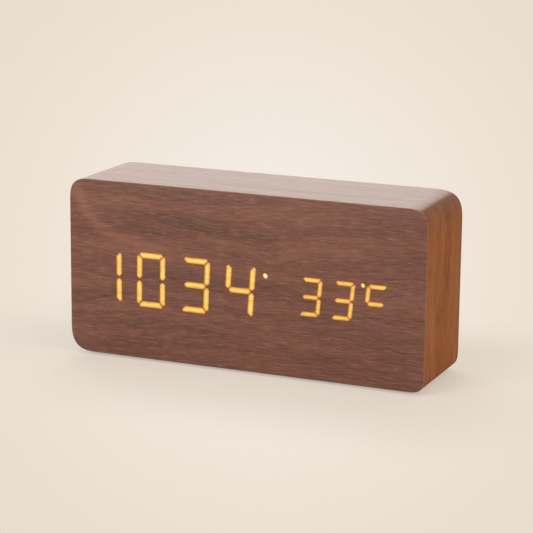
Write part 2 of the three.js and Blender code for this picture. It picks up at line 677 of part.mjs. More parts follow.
function dotGuide(dot) {
  const margin = dot.radius + WEB_MARGIN;
  const [lowX, lowZ] = dot.places[0];
  const [highX, highZ] = dot.places[dot.places.length - 1];
  const outline = polygonShape([
    [lowX - margin, lowZ - margin],
    [lowX + margin, lowZ - margin],
    [highX + margin, highZ + margin],
    [highX - margin, highZ + margin],
  ]);
  const web = slab(outline, MASK_PLATE_BACK_Y + SEAT_GAP, WEB_BACK_Y);
  const tipY = dot.lit ? FRONT_Y : MASK_FRONT_Y;
  return joined([web, ...dot.places.map(([x, z]) => rod(dot.radius, tipY, WEB_BACK_Y, x, z))]);
}

// The LED board carries one lamp behind each bar and dot
function displayBoard() {
  const backY = DISPLAY_BOARD_Y + CIRCUIT_BOARD;
  const board = slab(displayOutline(-MASK_WALL - FIT_GAP), DISPLAY_BOARD_Y, backY);
  const lamps = [];
  const lampY = [DISPLAY_BOARD_Y - LED_HEIGHT, DISPLAY_BOARD_Y + LED_HEIGHT];
  const lamp = (x, z) => standing(x, z, LED_SIZE, LED_SIZE, ...lampY);
  for (const digit of digits) {
    for (const bar of allBars) {
      const outline = barOutline(digit, bar, 0);
      const x = outline.reduce((sum, point) => sum + point[0], 0) / outline.length;
      const z = outline.reduce((sum, point) => sum + point[1], 0) / outline.length;
      lamps.push(lamp(x, z));
    }
  }
  for (const dot of dots) {
    lamps.push(...dot.places.map(([x, z]) => lamp(x, z)));
  }
  const holes = postPlaces().map(([x, z]) => (
    rod(PEG_RADIUS + SEAT_GAP, FRONT_Y, backY + CUT_OVERRUN, x, z, HOLE_SIDES)
  ));
  return cutAll(joined([board, ...lamps]), holes);
}

// Screws
function screw(x, z, topY, length, direction) {
  const y = (distance) => topY - direction * distance;
  const profile = [
    [0, y(0)],
    [SCREW.head, y(0)],
    [SCREW.shank, y(SCREW.headHeight)],
    [SCREW.shank, y(length - SCREW.tip)],
    [0, y(length)],
  ];
  const body = turnedY(direction > 0 ? profile.reverse() : profile, x, z, FINE_SIDES);
  const nearY = Math.min(y(-CUT_OVERRUN), y(SCREW.crossDepth));
  const farY = Math.max(y(-CUT_OVERRUN), y(SCREW.crossDepth));
  const arm = SCREW.head + SCREW.cross;
  return cutAll(body, [
    standing(x, z, arm, SCREW.cross, nearY, farY),
    standing(x, z, SCREW.cross, arm, nearY, farY),
  ]);
}

// Moulded back housing: flange, control tray with its sunk panel, and battery bay
function cellPlaces() {
  const places = [];
  for (let index = 0; index < CELL_COUNT; index += 1) {
    places.push(MIDDLE_Z + (index - (CELL_COUNT - 1) * half) * CELL_SPACING);
  }
  return places;
}

function rodX(radius, lowX, highX, y, z, sides = ROUND_SIDES) {
  const geometry = new THREE.CylinderGeometry(radius, radius, highX - lowX, sides);
  geometry.rotateZ(Math.PI / 2);
  geometry.translate((lowX + highX) * half, y, z);
  return toSolid(geometry);
}

function cradleRibs() {
  const ribs = [];
  for (const share of ribShares) {
    const x = BAY_LEFT + BAY_LENGTH * share;
    const low = MIDDLE_Z - BAY_HEIGHT * half;
    const high = MIDDLE_Z + BAY_HEIGHT * half;
    const side = RIB_THICKNESS * half;
    const rib = block(x - side, x + side, BAY_BOTTOM_Y, BAY_FLOOR_Y + RIB_RISE, low, high);
    const beds = cellPlaces().map((z) => rodX(CELL_RADIUS + FIT_GAP, BAY_LEFT, BAY_RIGHT, CELL_Y, z));
    ribs.push(cutAll(rib, beds));
  }
  return ribs;
}

function tabPlaces() {
  const reach = DOOR_WIDTH * half - TAB.inset - TAB.width * half;
  return [BAY_X - reach, BAY_X + reach];
}

function bayCuts() {
  const bayShape = roundedRectangle(BAY_LENGTH, BAY_HEIGHT, DOOR_CORNER * half, BAY_X, MIDDLE_Z);
  const doorHole = [DOOR_WIDTH + DOOR_GAP + DOOR_GAP, DOOR_HEIGHT + DOOR_GAP + DOOR_GAP];
  const doorShape = roundedRectangle(...doorHole, DOOR_CORNER + DOOR_GAP, BAY_X, MIDDLE_Z);
  const toeLowZ = DOOR_LOW_Z - TAB.toe - FIT_GAP;
  const slots = tabPlaces().map((x) => block(
    x - TAB.width * half - FIT_GAP, x + TAB.width * half + FIT_GAP,
    DOOR_INNER_Y - TAB.thickness - TAB.root, DOOR_INNER_Y - SEAT_GAP,
    toeLowZ, DOOR_LOW_Z + DOOR_LEDGE + CUT_OVERRUN,
  ));
  const catchY = DOOR_INNER_Y - LATCH.reach;
  const catchPocket = block(
    BAY_X - LATCH.width * half, BAY_X + LATCH.width * half,
    catchY - FIT_GAP, catchY + LATCH.noseHeight + FIT_GAP,
    MIDDLE_Z, MIDDLE_Z + BAY_HEIGHT * half + LATCH.nose,
  );
  return [
    slab(bayShape, BAY_FLOOR_Y, BACK_Y),
    slab(doorShape, DOOR_INNER_Y - SEAT_GAP, BACK_Y),
    catchPocket,
    ...slots,
    ...contactPockets(),
  ];
}

// Contacts: for each one its end of the bay, its cells and what it does. The cells stand head to tail.
const bridgeNames = ['lower', 'upper'];
const contacts = contactList();

function contactList() {
  const list = [{ name: 'contact_negative', side: -1, springCell: 0, flatCell: null }];
  for (let index = 1; index < CELL_COUNT; index += 1) {
    const name = `contact_bridge_${bridgeNames[index - 1] ?? index}`;
    list.push({ name, side: index % 2 === 1 ? 1 : -1, springCell: index, flatCell: index - 1 });
  }
  const lastSide = CELL_COUNT % 2 === 1 ? 1 : -1;
  list.push({ name: 'contact_positive', side: lastSide, springCell: null, flatCell: CELL_COUNT - 1 });
  return list;
}

function contactSpan(contact) {
  const cells = cellPlaces();
  const touched = [contact.springCell, contact.flatCell].filter((index) => index !== null);
  const places = touched.map((index) => cells[index]);
  return {
    low: Math.min(...places) - PLATE.width * half,
    high: Math.max(...places) + PLATE.width * half,
    middle: (Math.min(...places) + Math.max(...places)) * half,
    terminal: places.length === 1,
    wallX: contact.side < 0 ? BAY_LEFT : BAY_RIGHT,
  };
}

function contactPockets() {
  return contacts.flatMap((contact) => {
    const { low, high, middle, terminal, wallX } = contactSpan(contact);
    const deep = wallX + contact.side * (PLATE.thickness + SEAT_GAP);
    const open = wallX - contact.side * CUT_OVERRUN;
    const lowX = Math.min(deep, open);
    const highX = Math.max(deep, open);
    const cuts = [block(
      lowX, highX, CELL_Y - PLATE.height * half - FIT_GAP, CELL_Y + PLATE.height * half + FIT_GAP,
      low - FIT_GAP, high + FIT_GAP,
    )];
    if (terminal) {
      const slotLow = Math.min(deep, wallX);
      const slotHigh = Math.max(deep, wallX) + SEAT_GAP;
      const reach = PLATE.tabWidth * half + FIT_GAP;
      const slotY = BAY_BOTTOM_Y - CUT_OVERRUN;
      cuts.push(block(slotLow - SEAT_GAP, slotHigh, slotY, CELL_Y, middle - reach, middle + reach));
    }
    return cuts;
  });
}

// An upright slot with chamfered ends
function pointedSlot(width, height, x, z) {
  const side = width * half;
  const shoulder = height * half - side;
  const tip = height * half;
  return polygonShape([
    [x - side, z - shoulder],
    [x, z - tip],
    [x + side, z - shoulder],
    [x + side, z + shoulder],
    [x, z + tip],
    [x - side, z + shoulder],
  ]);
}

function panelOpenings() {
  const nearY = PANEL_INNER_Y - CUT_OVERRUN;
  const farY = BACK_Y;
  const cuts = keys.map(({ x, z }) => rod(KEY_RADIUS + KEY.gap, nearY, farY, x, z, ROUND_SIDES));
  const slot = LEVER.size + LEVER.travel + FIT_GAP + FIT_GAP;
  const slotX = lever.x + LEVER.travel * half;
  cuts.push(standing(slotX, lever.z, slot, LEVER.size + FIT_GAP + FIT_GAP, nearY, farY));
  const mouth = [USB.width + FIT_GAP + FIT_GAP, USB.height + FIT_GAP + FIT_GAP];
  cuts.push(slab(roundedRectangle(...mouth, FIT_GAP + FIT_GAP, usb.x, usb.z), nearY, farY, 1));
  cuts.push(rod(MICROPHONE.hole, nearY, farY, microphone.x, microphone.z, HOLE_SIDES));
  cuts.push(rod(BUZZER.hole, nearY, farY, buzzer.x, buzzer.z, HOLE_SIDES));
  for (let index = 0; index < BUZZER.holeCount; index += 1) {
    const angle = (index / BUZZER.holeCount) * Math.PI * 2;
    const x = buzzer.x + Math.cos(angle) * BUZZER.ring;
    const z = buzzer.z + Math.sin(angle) * BUZZER.ring;
    cuts.push(rod(BUZZER.hole, nearY, farY, x, z, HOLE_SIDES));
  }
  for (let index = 0; index < VENT.count; index += 1) {
    const x = sensor.x + (index - (VENT.count - 1) * half) * VENT.spacing;
    cuts.push(slab(pointedSlot(VENT.width, VENT.height, x, sensor.z), nearY, farY));
  }
  return cuts;
}

function backHousing() {
  const rootY = FLANGE_Y - FLANGE_THICKNESS * half;
  const bayWidth = BAY_LENGTH + BAY_WALL + BAY_WALL;
  const trayWidth = TRAY_RIGHT - TRAY_LEFT;
  const panelMiddle = PANEL_LEFT + PANEL_WIDTH * half;
  const bayShape = roundedRectangle(bayWidth, HOUSING_HEIGHT, HOUSING_CORNER, BAY_X, MIDDLE_Z);
  const trayShape = roundedRectangle(trayWidth, TRAY_HEIGHT, HOUSING_CORNER * half, TRAY_X, MIDDLE_Z);
  const panelShape = roundedRectangle(PANEL_WIDTH, PANEL_HEIGHT, PANEL_CORNER, panelMiddle, MIDDLE_Z);
  const flange = slab(flangeOutline(0), FLANGE_INNER_Y, FLANGE_Y);
  const skirt = slab(housingOutline(0), FLANGE_Y - TRAY_DEPTH, rootY);
  const bay = slab(bayShape, BAY_BOTTOM_Y, rootY);
  const tray = slab(trayShape, FRONT_Y, PANEL_INNER_Y);
  const sunkPanel = slab(panelShape, PANEL_Y, BACK_Y);
  const sunkHoles = screwPlaces().map(([x, z]) => turnedY([
    [0, FRONT_Y],
    [SCREW.shank + SEAT_GAP, FRONT_Y],
    [SCREW.shank + SEAT_GAP, FLANGE_Y - SCREW.headHeight - SEAT_GAP],
    [SCREW.head + SEAT_GAP, FLANGE_Y - SEAT_GAP],
    [SCREW.head + SEAT_GAP, BACK_Y],
    [0, BACK_Y],
  ], x, z, FINE_SIDES));
  const hollow = cutAll(joined([flange, skirt, bay]), [tray, sunkPanel, ...bayCuts(), ...sunkHoles]);
  const bossTopY = PANEL_Y - PANEL_THICKNESS * half;
  const posts = bosses.map(({ x, z }) => rod(BOSS_RADIUS, BOARD_BACK_Y + SEAT_GAP, bossTopY, x, z));
  const pilots = bosses.map(({ x, z }) => rod(SCREW.shank + SEAT_GAP, FRONT_Y, PANEL_INNER_Y, x, z));
  return cutAll(joined([hollow, ...cradleRibs(), ...posts]), [...pilots, ...panelOpenings()]);
}

// Battery door: plate, two tabs under its lower edge and a latch tongue at its upper edge
function batteryDoor() {
  const doorShape = roundedRectangle(DOOR_WIDTH, DOOR_HEIGHT, DOOR_CORNER, BAY_X, MIDDLE_Z);
  const plate = slab(doorShape, DOOR_INNER_Y, FLANGE_Y);
  const tabs = tabPlaces().map((x) => {
    const lowX = x - TAB.width * half;
    const highX = x + TAB.width * half;
    const innerY = DOOR_INNER_Y - TAB.thickness - FIT_GAP;
    const neckZ = DOOR_LOW_Z + TAB.neck;
    const root = block(lowX, highX, innerY, DOOR_INNER_Y + SEAT_GAP, neckZ, DOOR_LOW_Z + TAB.root);
    const toeTopY = FLANGE_INNER_Y - SEAT_GAP;
    return root.add(block(lowX, highX, innerY, toeTopY, DOOR_LOW_Z - TAB.toe, neckZ + SEAT_GAP));
  });
  const legHighZ = MIDDLE_Z + BAY_HEIGHT * half - LATCH.wallGap;
  const legInnerY = DOOR_INNER_Y - LATCH.reach;
  const lowX = BAY_X - LATCH.width * half;
  const highX = BAY_X + LATCH.width * half;
  const leg = block(
    lowX + LATCH.slot, highX - LATCH.slot, legInnerY, DOOR_INNER_Y + SEAT_GAP, legHighZ - LATCH.leg, legHighZ,
  );
  const nose = block(
    lowX + LATCH.slot, highX - LATCH.slot, legInnerY, legInnerY + LATCH.noseHeight,
    legHighZ - LATCH.leg, legHighZ + LATCH.nose,
  );
  const slotLow = DOOR_HIGH_Z - LATCH.length;
  const slots = [lowX, highX - LATCH.slot].map((x) => (
    block(x, x + LATCH.slot, FRONT_Y, BACK_Y, slotLow, DOOR_HIGH_Z + CUT_OVERRUN)
  ));
  const ridges = [];
  for (let index = 0; index < RIDGE.count; index += 1) {
    const z = DOOR_HIGH_Z - RIDGE.spacing * (index + 1);
    const ridgeY = [DOOR_INNER_Y + SEAT_GAP, FLANGE_Y + RIDGE.height];
    ridges.push(standing(BAY_X, z, RIDGE.length, RIDGE.width, ...ridgeY));
  }
  return joined([cutAll(plate, slots), ...tabs, leg, nose, ...ridges]);
}

// Cells lie along X, each turned end for end from its neighbour
function cell(z, turned) {
  const body = CELL_LENGTH - CELL_NUB_LENGTH;
  const profile = [
    [0, 0],
    [CELL_RADIUS - CELL_EDGE, 0],
    [CELL_RADIUS, CELL_EDGE],
    [CELL_RADIUS, body - CELL_EDGE],
    [CELL_RADIUS - CELL_EDGE, body],
    [CELL_NUB_RADIUS, body],
    [CELL_NUB_RADIUS, CELL_LENGTH],
    [0, CELL_LENGTH],
  ];
  const points = profile.map(([radius, y]) => new THREE.Vector2(radius, y));
  const geometry = new THREE.LatheGeometry(points, ROUND_SIDES);
  geometry.rotateZ(turned ? Math.PI / 2 : -Math.PI / 2);
  const springRoom = SPRING.length + SEAT_GAP;
  geometry.translate(turned ? BAY_RIGHT - springRoom : BAY_LEFT + springRoom, CELL_Y, z);
  return toSolid(geometry);
}

// Conical contact spring, wound as one wire from its plate to the cell
class ConicalCoil extends THREE.Curve {
  constructor(x, z, direction) {
    super();
    this.x = x;
    this.z = z;
    this.direction = direction;
  }

  getPoint(share, target = new THREE.Vector3()) {
    const angle = share * SPRING.turns * Math.PI * 2;
    const radius = SPRING.baseRadius + (SPRING.tipRadius - SPRING.baseRadius) * share;
    const wireRadius = SPRING.wireWidth * half;
    const climb = wireRadius * half + (SPRING.length - wireRadius * half - wireRadius) * share;
    return target.set(
      this.x + this.direction * climb,
      CELL_Y + Math.cos(angle) * radius,
      this.z + Math.sin(angle) * radius,
    );
  }
}

function tube(curve, radius, steps, sides) {
  const section = new THREE.Shape();
  for (let side = 0; side < sides; side += 1) {
    const angle = (side / sides) * Math.PI * 2;
    const point = [Math.cos(angle) * radius, Math.sin(angle) * radius];
    if (side === 0) {
      section.moveTo(...point);
    } else {
      section.lineTo(...point);
    }
  }
  return toSolid(new THREE.ExtrudeGeometry(section, { steps, extrudePath: curve, bevelEnabled: false }));
}

// The least gap between turns of a coil, measured on points at least half a turn apart
function coilGap(curve, diameter) {
  const count = SPRING.turns * SPRING.steps;
  const points = curve.getPoints(count);
  let least = Infinity;
  for (let first = 0; first <= count; first += 1) {
    for (let second = first + SPRING.steps * half; second <= count; second += 1) {
      least = Math.min(least, points[first].distanceTo(points[second]));
    }
  }
  return least - diameter;
}

function contact(definition) {
  const { low, high, middle, terminal, wallX } = contactSpan(definition);
  const { side } = definition;
  const outerX = wallX + side * PLATE.thickness;
  const lowX = Math.min(wallX, outerX);
  const highX = Math.max(wallX, outerX);
  let piece = block(lowX, highX, CELL_Y - PLATE.height * half, CELL_Y + PLATE.height * half, low, high);
  if (terminal) {
    const reach = PLATE.tabWidth * half;
    const tabY = BAY_BOTTOM_Y - PLATE.tabReach;
    piece = piece.add(block(lowX, highX, tabY, CELL_Y, middle - reach, middle + reach));
  }
  if (definition.springCell !== null) {
    const curve = new ConicalCoil(wallX, cellPlaces()[definition.springCell], -side);
    const gap = coilGap(curve, SPRING.wireWidth);
    console.log(`${definition.name}: least gap between turns ${gap.toFixed(2)} mm`);
    piece = piece.add(tube(curve, SPRING.wireWidth * half, SPRING.turns * SPRING.steps, SPRING.sides));
  }
  return piece;
}

// Keys, their plungers and switches
function keyCap(key) {
  const topY = PANEL_Y + KEY.proud;
  const flangeTopY = PANEL_INNER_Y - SEAT_GAP;
  return turnedY([
    [0, flangeTopY - KEY.flangeThickness],
    [KEY_FLANGE, flangeTopY - KEY.flangeThickness],
    [KEY_FLANGE, flangeTopY],
    [KEY_RADIUS, flangeTopY],
    [KEY_RADIUS, topY - KEY.dome],
    [KEY_RADIUS - KEY.dome, topY - KEY.dome * keyCapShares.crownEdge],
    [KEY_RADIUS * keyCapShares.crown, topY],
    [0, topY],
  ], key.x, key.z);
}

function plungerTopY() {
  return PANEL_INNER_Y - SEAT_GAP - KEY.flangeThickness - SEAT_GAP * half;
}

function keyPlunger(key) {
  const switchTopY = BOARD_BACK_Y + KEY_SWITCH.height;
  return rod(KEY_SWITCH.plunger, switchTopY - KEY_SWITCH.sunk, plungerTopY(), key.x, key.z);
}

function keySwitch(key) {
  const baseY = BOARD_BACK_Y + SEAT_GAP;
  const topY = BOARD_BACK_Y + KEY_SWITCH.height;
  const body = standing(key.x, key.z, KEY_SWITCH.side, KEY_SWITCH.side, baseY, topY);
  const footWidth = KEY_SWITCH.side + KEY_SWITCH.foot + KEY_SWITCH.foot;
  const foot = standing(key.x, key.z, footWidth, KEY_SWITCH.side * half, baseY, baseY + KEY_SWITCH.foot);
  const bore = rod(KEY_SWITCH.hole, baseY + KEY_SWITCH.floor, BACK_Y, key.x, key.z);
  return body.add(foot).subtract(bore);
}

// Sound switch: a slide switch on the board, with its lever through a slot of the panel
function slideSwitchBody() {
  const baseY = BOARD_BACK_Y + SEAT_GAP;
  const x = lever.x + LEVER.travel * half;
  const topY = BOARD_BACK_Y + SLIDE_SWITCH.height;
  const body = standing(x, lever.z, SLIDE_SWITCH.length, SLIDE_SWITCH.width, baseY, topY);
  const slot = LEVER.size + LEVER.travel + FIT_GAP + FIT_GAP;
  const width = LEVER.size + SEAT_GAP + SEAT_GAP;
  return body.subtract(standing(x, lever.z, slot, width, baseY + SLIDE_SWITCH.wall, BACK_Y));
}

function switchLever() {
  const topY = PANEL_Y + LEVER.proud;
  const lowY = BOARD_BACK_Y + SLIDE_SWITCH.height - LEVER.sunk;
  const post = standing(lever.x, lever.z, LEVER.size, LEVER.size, lowY, topY);
  const grooveY = topY - LEVER.proud * leverShares.grooveDepth;
  const grooves = [-1, 1].map((side) => standing(
    lever.x + side * LEVER.size * leverShares.groove, lever.z,
    LEVER.size * leverShares.grooveWidth, LEVER.size + CUT_OVERRUN, grooveY, BACK_Y,
  ));
  return cutAll(post, grooves);
}

// The socket's outline, drawn in by an inset: a flat top, and lower corners cut away
function usbOutline(inset) {
  const wide = USB.width * half - inset;
  const narrow = wide - USB.height * usbShares.narrow;
  const top = usb.z + USB.height * half - inset;
  const low = usb.z - USB.height * half + inset;
  const shoulder = usb.z - USB.height * usbShares.shoulder;
  return polygonShape([
    [usb.x - wide, top],
    [usb.x - wide, shoulder],
    [usb.x - narrow, low],
    [usb.x + narrow, low],
    [usb.x + wide, shoulder],
    [usb.x + wide, top],
  ]);
}

function usbSocket() {
  const mouthY = PANEL_Y - SEAT_GAP;
  const floorY = mouthY - USB.depth;
  const shell = slab(usbOutline(0), BOARD_BACK_Y + SEAT_GAP, mouthY);
  const hollow = slab(usbOutline(USB.wall), floorY + USB.wall, mouthY + CUT_OVERRUN);
  const tongueZ = usb.z + USB.height * usbShares.tongue;
  const tongue = standing(usb.x, tongueZ, USB.tongueWidth, USB.tongue, floorY, mouthY - USB.wall - USB.wall);
  return shell.subtract(hollow).add(tongue);
}

// Main board and its parts
function mainBoard() {
  const outline = roundedRectangle(BOARD_WIDTH, BOARD_HEIGHT, HOUSING_CORNER * half, TRAY_X, MIDDLE_Z);
  const holes = bosses.map(({ x, z }) => rod(SCREW.shank + SEAT_GAP, FRONT_Y, BACK_Y, x, z));
  return cutAll(slab(outline, BOARD_FRONT_Y, BOARD_BACK_Y), holes);
}

function clockChip() {
  const topY = BOARD_FRONT_Y - SEAT_GAP;
  const body = standing(chip.x, chip.z, CHIP.width, CHIP.height, topY - CHIP.thickness, topY - CHIP.leg);
  const legs = [];
  for (let index = 0; index < CHIP.legCount; index += 1) {
    const x = chip.x + (index - (CHIP.legCount - 1) * half) * CHIP.legSpacing;
    const reach = CHIP.height + CHIP.footLength + CHIP.footLength;
    legs.push(standing(x, chip.z, CHIP.leg, reach, topY - CHIP.leg - SEAT_GAP, topY));
  }
  return joined([body, ...legs]);
}

function crystalCan() {
  const y = BOARD_FRONT_Y - SEAT_GAP - CRYSTAL.radius;
  const reach = CRYSTAL.length * half;
  return rodX(CRYSTAL.radius, crystal.x - reach, crystal.x + reach, y, crystal.z, FINE_SIDES);
}

function capacitorCan() {
  const topY = BOARD_FRONT_Y - SEAT_GAP;
  const bead = CAPACITOR.radius * capacitorShares.bead;
  const [high, middle, low] = capacitorShares.groove.map((share) => topY - CAPACITOR.radius * share);
  return turnedY([
    [0, topY - CAPACITOR.height],
    [CAPACITOR.radius - bead, topY - CAPACITOR.height],
    [CAPACITOR.radius, topY - CAPACITOR.height + bead],
    [CAPACITOR.radius, high],
    [CAPACITOR.radius - bead, middle],
    [CAPACITOR.radius, low],
    [CAPACITOR.radius, topY],
    [0, topY],
  ], capacitor.x, capacitor.z, FINE_SIDES);
}

// The holder is a cup, open on its upper side so that the cell can slide in
function coinHolder() {
  const topY = BOARD_FRONT_Y - SEAT_GAP;
  const mouthY = topY - COIN.height - CUT_OVERRUN;
  const floorY = topY - COIN.wall;
  const bore = COIN.radius + COIN.gap;
  const cup = rod(COIN_HOLDER_RADIUS, topY - COIN.height, topY, coin.x, coin.z, ROUND_SIDES);
  const well = rod(bore, mouthY, floorY, coin.x, coin.z, ROUND_SIDES);
  const mouthZ = coin.z + COIN_HOLDER_RADIUS;
  const mouth = standing(coin.x, mouthZ, COIN.arm + COIN.arm, COIN_HOLDER_RADIUS * 2, mouthY, floorY);
  return cutAll(cup, [well, mouth]);
}

function coinCell() {
  const backY = BOARD_FRONT_Y - SEAT_GAP - COIN.wall - SEAT_GAP;
  const step = COIN.thickness * coinShares.rim;
  return turnedY([
    [0, backY - COIN.thickness],
    [COIN.radius, backY - COIN.thickness],
    [COIN.radius, backY - step],
    [COIN.radius - step - step, backY],
    [0, backY],
  ], coin.x, coin.z);
}

function buzzerCan() {
  const baseY = BOARD_BACK_Y + SEAT_GAP;
  const topY = BOARD_BACK_Y + BUZZER.height;
  const mouth = BUZZER.radius * buzzerShares.mouth;
  return turnedY([
    [0, baseY],
    [BUZZER.radius, baseY],
    [BUZZER.radius, topY - mouth * half],
    [BUZZER.radius - mouth * half, topY],
    [mouth, topY],
    [mouth, topY - mouth],
    [0, topY - mouth],
  ], buzzer.x, buzzer.z);
}

function microphoneCapsule() {
  const topY = BOARD_BACK_Y + MICROPHONE.height;
  return rod(MICROPHONE.radius, BOARD_BACK_Y + SEAT_GAP, topY, microphone.x, microphone.z, ROUND_SIDES);
}

function temperatureSensor() {
  const beadY = BOARD_BACK_Y + SENSOR.rise;
  const bead = new THREE.SphereGeometry(SENSOR.bead, HOLE_SIDES, HOLE_SIDES * half);
  bead.translate(sensor.x, beadY, sensor.z);
  const legs = [-1, 1].map((side) => {
    const x = sensor.x + side * SENSOR.legSpacing * half;
    return rod(SENSOR.leg, BOARD_BACK_Y + SEAT_GAP, beadY, x, sensor.z, LEAD_SIDES);
  });
  return joined([toSolid(bead), ...legs]);
}

// Leads from the battery terminals to the board, and the ribbon between the boards
function smoothPath(points) {
  const places = points.map(([x, y, z]) => new THREE.Vector3(x, y, z));
  return new THREE.CatmullRomCurve3(places, false, 'centripetal');
}

function batteryLead(definition, rise) {
  const { middle, wallX } = contactSpan(definition);
  const startX = wallX + definition.side * (PLATE.thickness + FIT_GAP + LEAD_RADIUS);
  const tabY = BAY_BOTTOM_Y - PLATE.tabReach * half - LEAD_RADIUS;
  const runY = BAY_BOTTOM_Y - LEAD_RADIUS - LEAD_RADIUS - PLATE.tabReach;
  const boardY = BOARD_FRONT_Y - FIT_GAP;
  const endX = TRAY_RIGHT - LEAD_BOARD_INSET;
  const z = MIDDLE_Z + rise;
  const curve = smoothPath([
    [startX, tabY, middle],
    [startX, runY, middle],
    [(startX + BAY_LEFT) * half, runY, (middle + z) * half],
    [BAY_LEFT, runY, z],
    [endX, runY, z],
    [endX, (runY + boardY) * half, z],
    [endX, boardY, z],
  ]);
  return tube(curve, LEAD_RADIUS, PATH_STEPS, LEAD_SIDES);
}

function ribbonCable() {
  const boardY = DISPLAY_BOARD_Y + CIRCUIT_BOARD + SEAT_GAP;
  const mainY = BOARD_FRONT_Y - SEAT_GAP;
  const { x, z, displayZ } = ribbon;
  const plugs = [
    standing(x, displayZ, RIBBON.plugWidth, RIBBON.plugDepth, boardY, boardY + RIBBON.plugHeight),
    standing(x, z, RIBBON.plugWidth, RIBBON.plugDepth, mainY - RIBBON.plugHeight, mainY),
  ];
  const startY = boardY + RIBBON.plugHeight - SEAT_GAP;
  const endY = mainY - RIBBON.plugHeight + SEAT_GAP;
  const sag = RIBBON.plugHeight;
  const thick = RIBBON.thickness * half;
  const line = smoothPath([
    [x, startY, displayZ],
    [x, startY + sag * half, displayZ],
    [x, (startY + endY) * half, Math.min(displayZ, z) - sag * half],
    [x, endY - sag * half, z],
    [x, endY, z],
  ]).getPoints(PATH_STEPS);
  const upper = line.map((point) => new THREE.Vector2(point.y, point.z + thick));
  const lower = line.map((point) => new THREE.Vector2(point.y, point.z - thick)).reverse();
  const options = { depth: RIBBON.width, bevelEnabled: false };
  const geometry = new THREE.ExtrudeGeometry(new THREE.Shape(lower.concat(upper)), options);
  geometry.rotateY(Math.PI / 2);
  geometry.rotateX(Math.PI / 2);
  geometry.translate(x - RIBBON.width * half, 0, 0);
  return joined([toSolid(geometry), ...plugs]);
}

// Assembly
addPiece('case_body', caseBody(), mdf);
addPiece('wrap_veneer', bandFilm(), walnutBand);
addPiece('front_veneer', frontFilm(), walnut);
addPiece('back_board', backBoard(), mdf);
addPiece('back_veneer', backFilm(), walnut);
addFeet();

addPiece('display_mask', displayMask(), blackPlastic);
for (const digit of digits) {
  addPiece(`${digit.name}_guide`, digitGuide(digit), litAmber);
}
for (const dot of dots) {
  addPiece(dot.name, dotGuide(dot), dot.lit ? litAmber : frosted);
}
addPiece('display_board', displayBoard(), boardGreen);

addPiece('back_housing', backHousing(), blackPlastic);
screwPlaces().forEach(([x, z], index) => {
  addPiece(`housing_screw_${index + 1}`, screw(x, z, FLANGE_Y - SEAT_GAP, SCREW.length, 1), steel);
});
addPiece('battery_door', batteryDoor(), blackPlastic);
cellPlaces().forEach((z, index) => {
  addPiece(`battery_cell_${index + 1}`, cell(z, index % 2 === 1), cellJacket);
});
for (const definition of contacts) {
  addPiece(definition.name, contact(definition), nickel);
}

for (const key of keys) {
  addPiece(`${key.name}_button`, keyCap(key), keyPlastic);
  addPiece(`${key.name}_plunger`, keyPlunger(key), ivory);
  addPiece(`${key.name}_key_switch`, keySwitch(key), epoxy);
}
addPiece('sound_switch_body', slideSwitchBody(), steel);
addPiece('sound_switch_lever', switchLever(), keyPlastic);
addPiece('usb_socket', usbSocket(), nickel);

addPiece('main_board', mainBoard(), boardGreen);
bosses.forEach(({ x, z }, index) => {
  const topY = BOARD_FRONT_Y - SCREW.headHeight - SEAT_GAP;
  addPiece(`board_screw_${index + 1}`, screw(x, z, topY, BOARD_SCREW_LENGTH, -1), steel);
});
addPiece('clock_chip', clockChip(), epoxy);
addPiece('crystal', crystalCan(), steel);
addPiece('capacitor', capacitorCan(), cellJacket);
addPiece('coin_holder', coinHolder(), blackPlastic);
addPiece('coin_cell', coinCell(), nickel);
addPiece('buzzer', buzzerCan(), epoxy);
addPiece('microphone', microphoneCapsule(), steel);
addPiece('temperature_sensor', temperatureSensor(), epoxy);
addPiece('lead_black', batteryLead(contacts[0], -LEAD_BOARD_Z), blackWire);
addPiece('lead_red', batteryLead(contacts[contacts.length - 1], LEAD_BOARD_Z), redWire);
addPiece('ribbon_cable', ribbonCable(), greyRibbon);

export default clock;
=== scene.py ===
import math

import bmesh
import bpy
import numpy as np
from mathutils import Matrix, Vector


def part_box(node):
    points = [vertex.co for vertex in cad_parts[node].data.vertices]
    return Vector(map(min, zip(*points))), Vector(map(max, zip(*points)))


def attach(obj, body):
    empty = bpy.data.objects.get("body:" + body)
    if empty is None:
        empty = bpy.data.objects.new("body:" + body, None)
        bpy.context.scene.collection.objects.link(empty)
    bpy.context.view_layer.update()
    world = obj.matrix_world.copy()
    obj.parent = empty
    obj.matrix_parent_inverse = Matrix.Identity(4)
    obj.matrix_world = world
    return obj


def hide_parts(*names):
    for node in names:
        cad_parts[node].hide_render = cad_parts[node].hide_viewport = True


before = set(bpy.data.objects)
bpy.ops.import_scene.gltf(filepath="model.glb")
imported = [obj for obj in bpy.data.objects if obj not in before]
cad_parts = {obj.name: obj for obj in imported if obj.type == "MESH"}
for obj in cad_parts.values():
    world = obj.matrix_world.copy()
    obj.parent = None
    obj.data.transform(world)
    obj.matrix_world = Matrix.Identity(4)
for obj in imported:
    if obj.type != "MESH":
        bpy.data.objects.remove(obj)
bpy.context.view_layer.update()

# The camera stands to the right of the clock and a little above it, as in the photograph.
# Its place and its three directions were fitted to the outline of the case.
camera_data = bpy.data.cameras.new("camera")
camera_data.sensor_width = 36
camera_data.lens = 137.055
camera = bpy.data.objects.new("camera", camera_data)
camera_right = Vector((0.91890669, 0.39435861, 0.00957994))
camera_up = Vector((-0.09857827, 0.20604992, 0.97356343))
camera_turn = Matrix((camera_right, camera_up, camera_right.cross(camera_up))).transposed()
camera_place = Vector((0.3075975, -0.7179391, 0.2215798))
camera.matrix_world = Matrix.Translation(camera_place) @ camera_turn.to_4x4()
bpy.context.collection.objects.link(camera)
bpy.context.scene.camera = camera
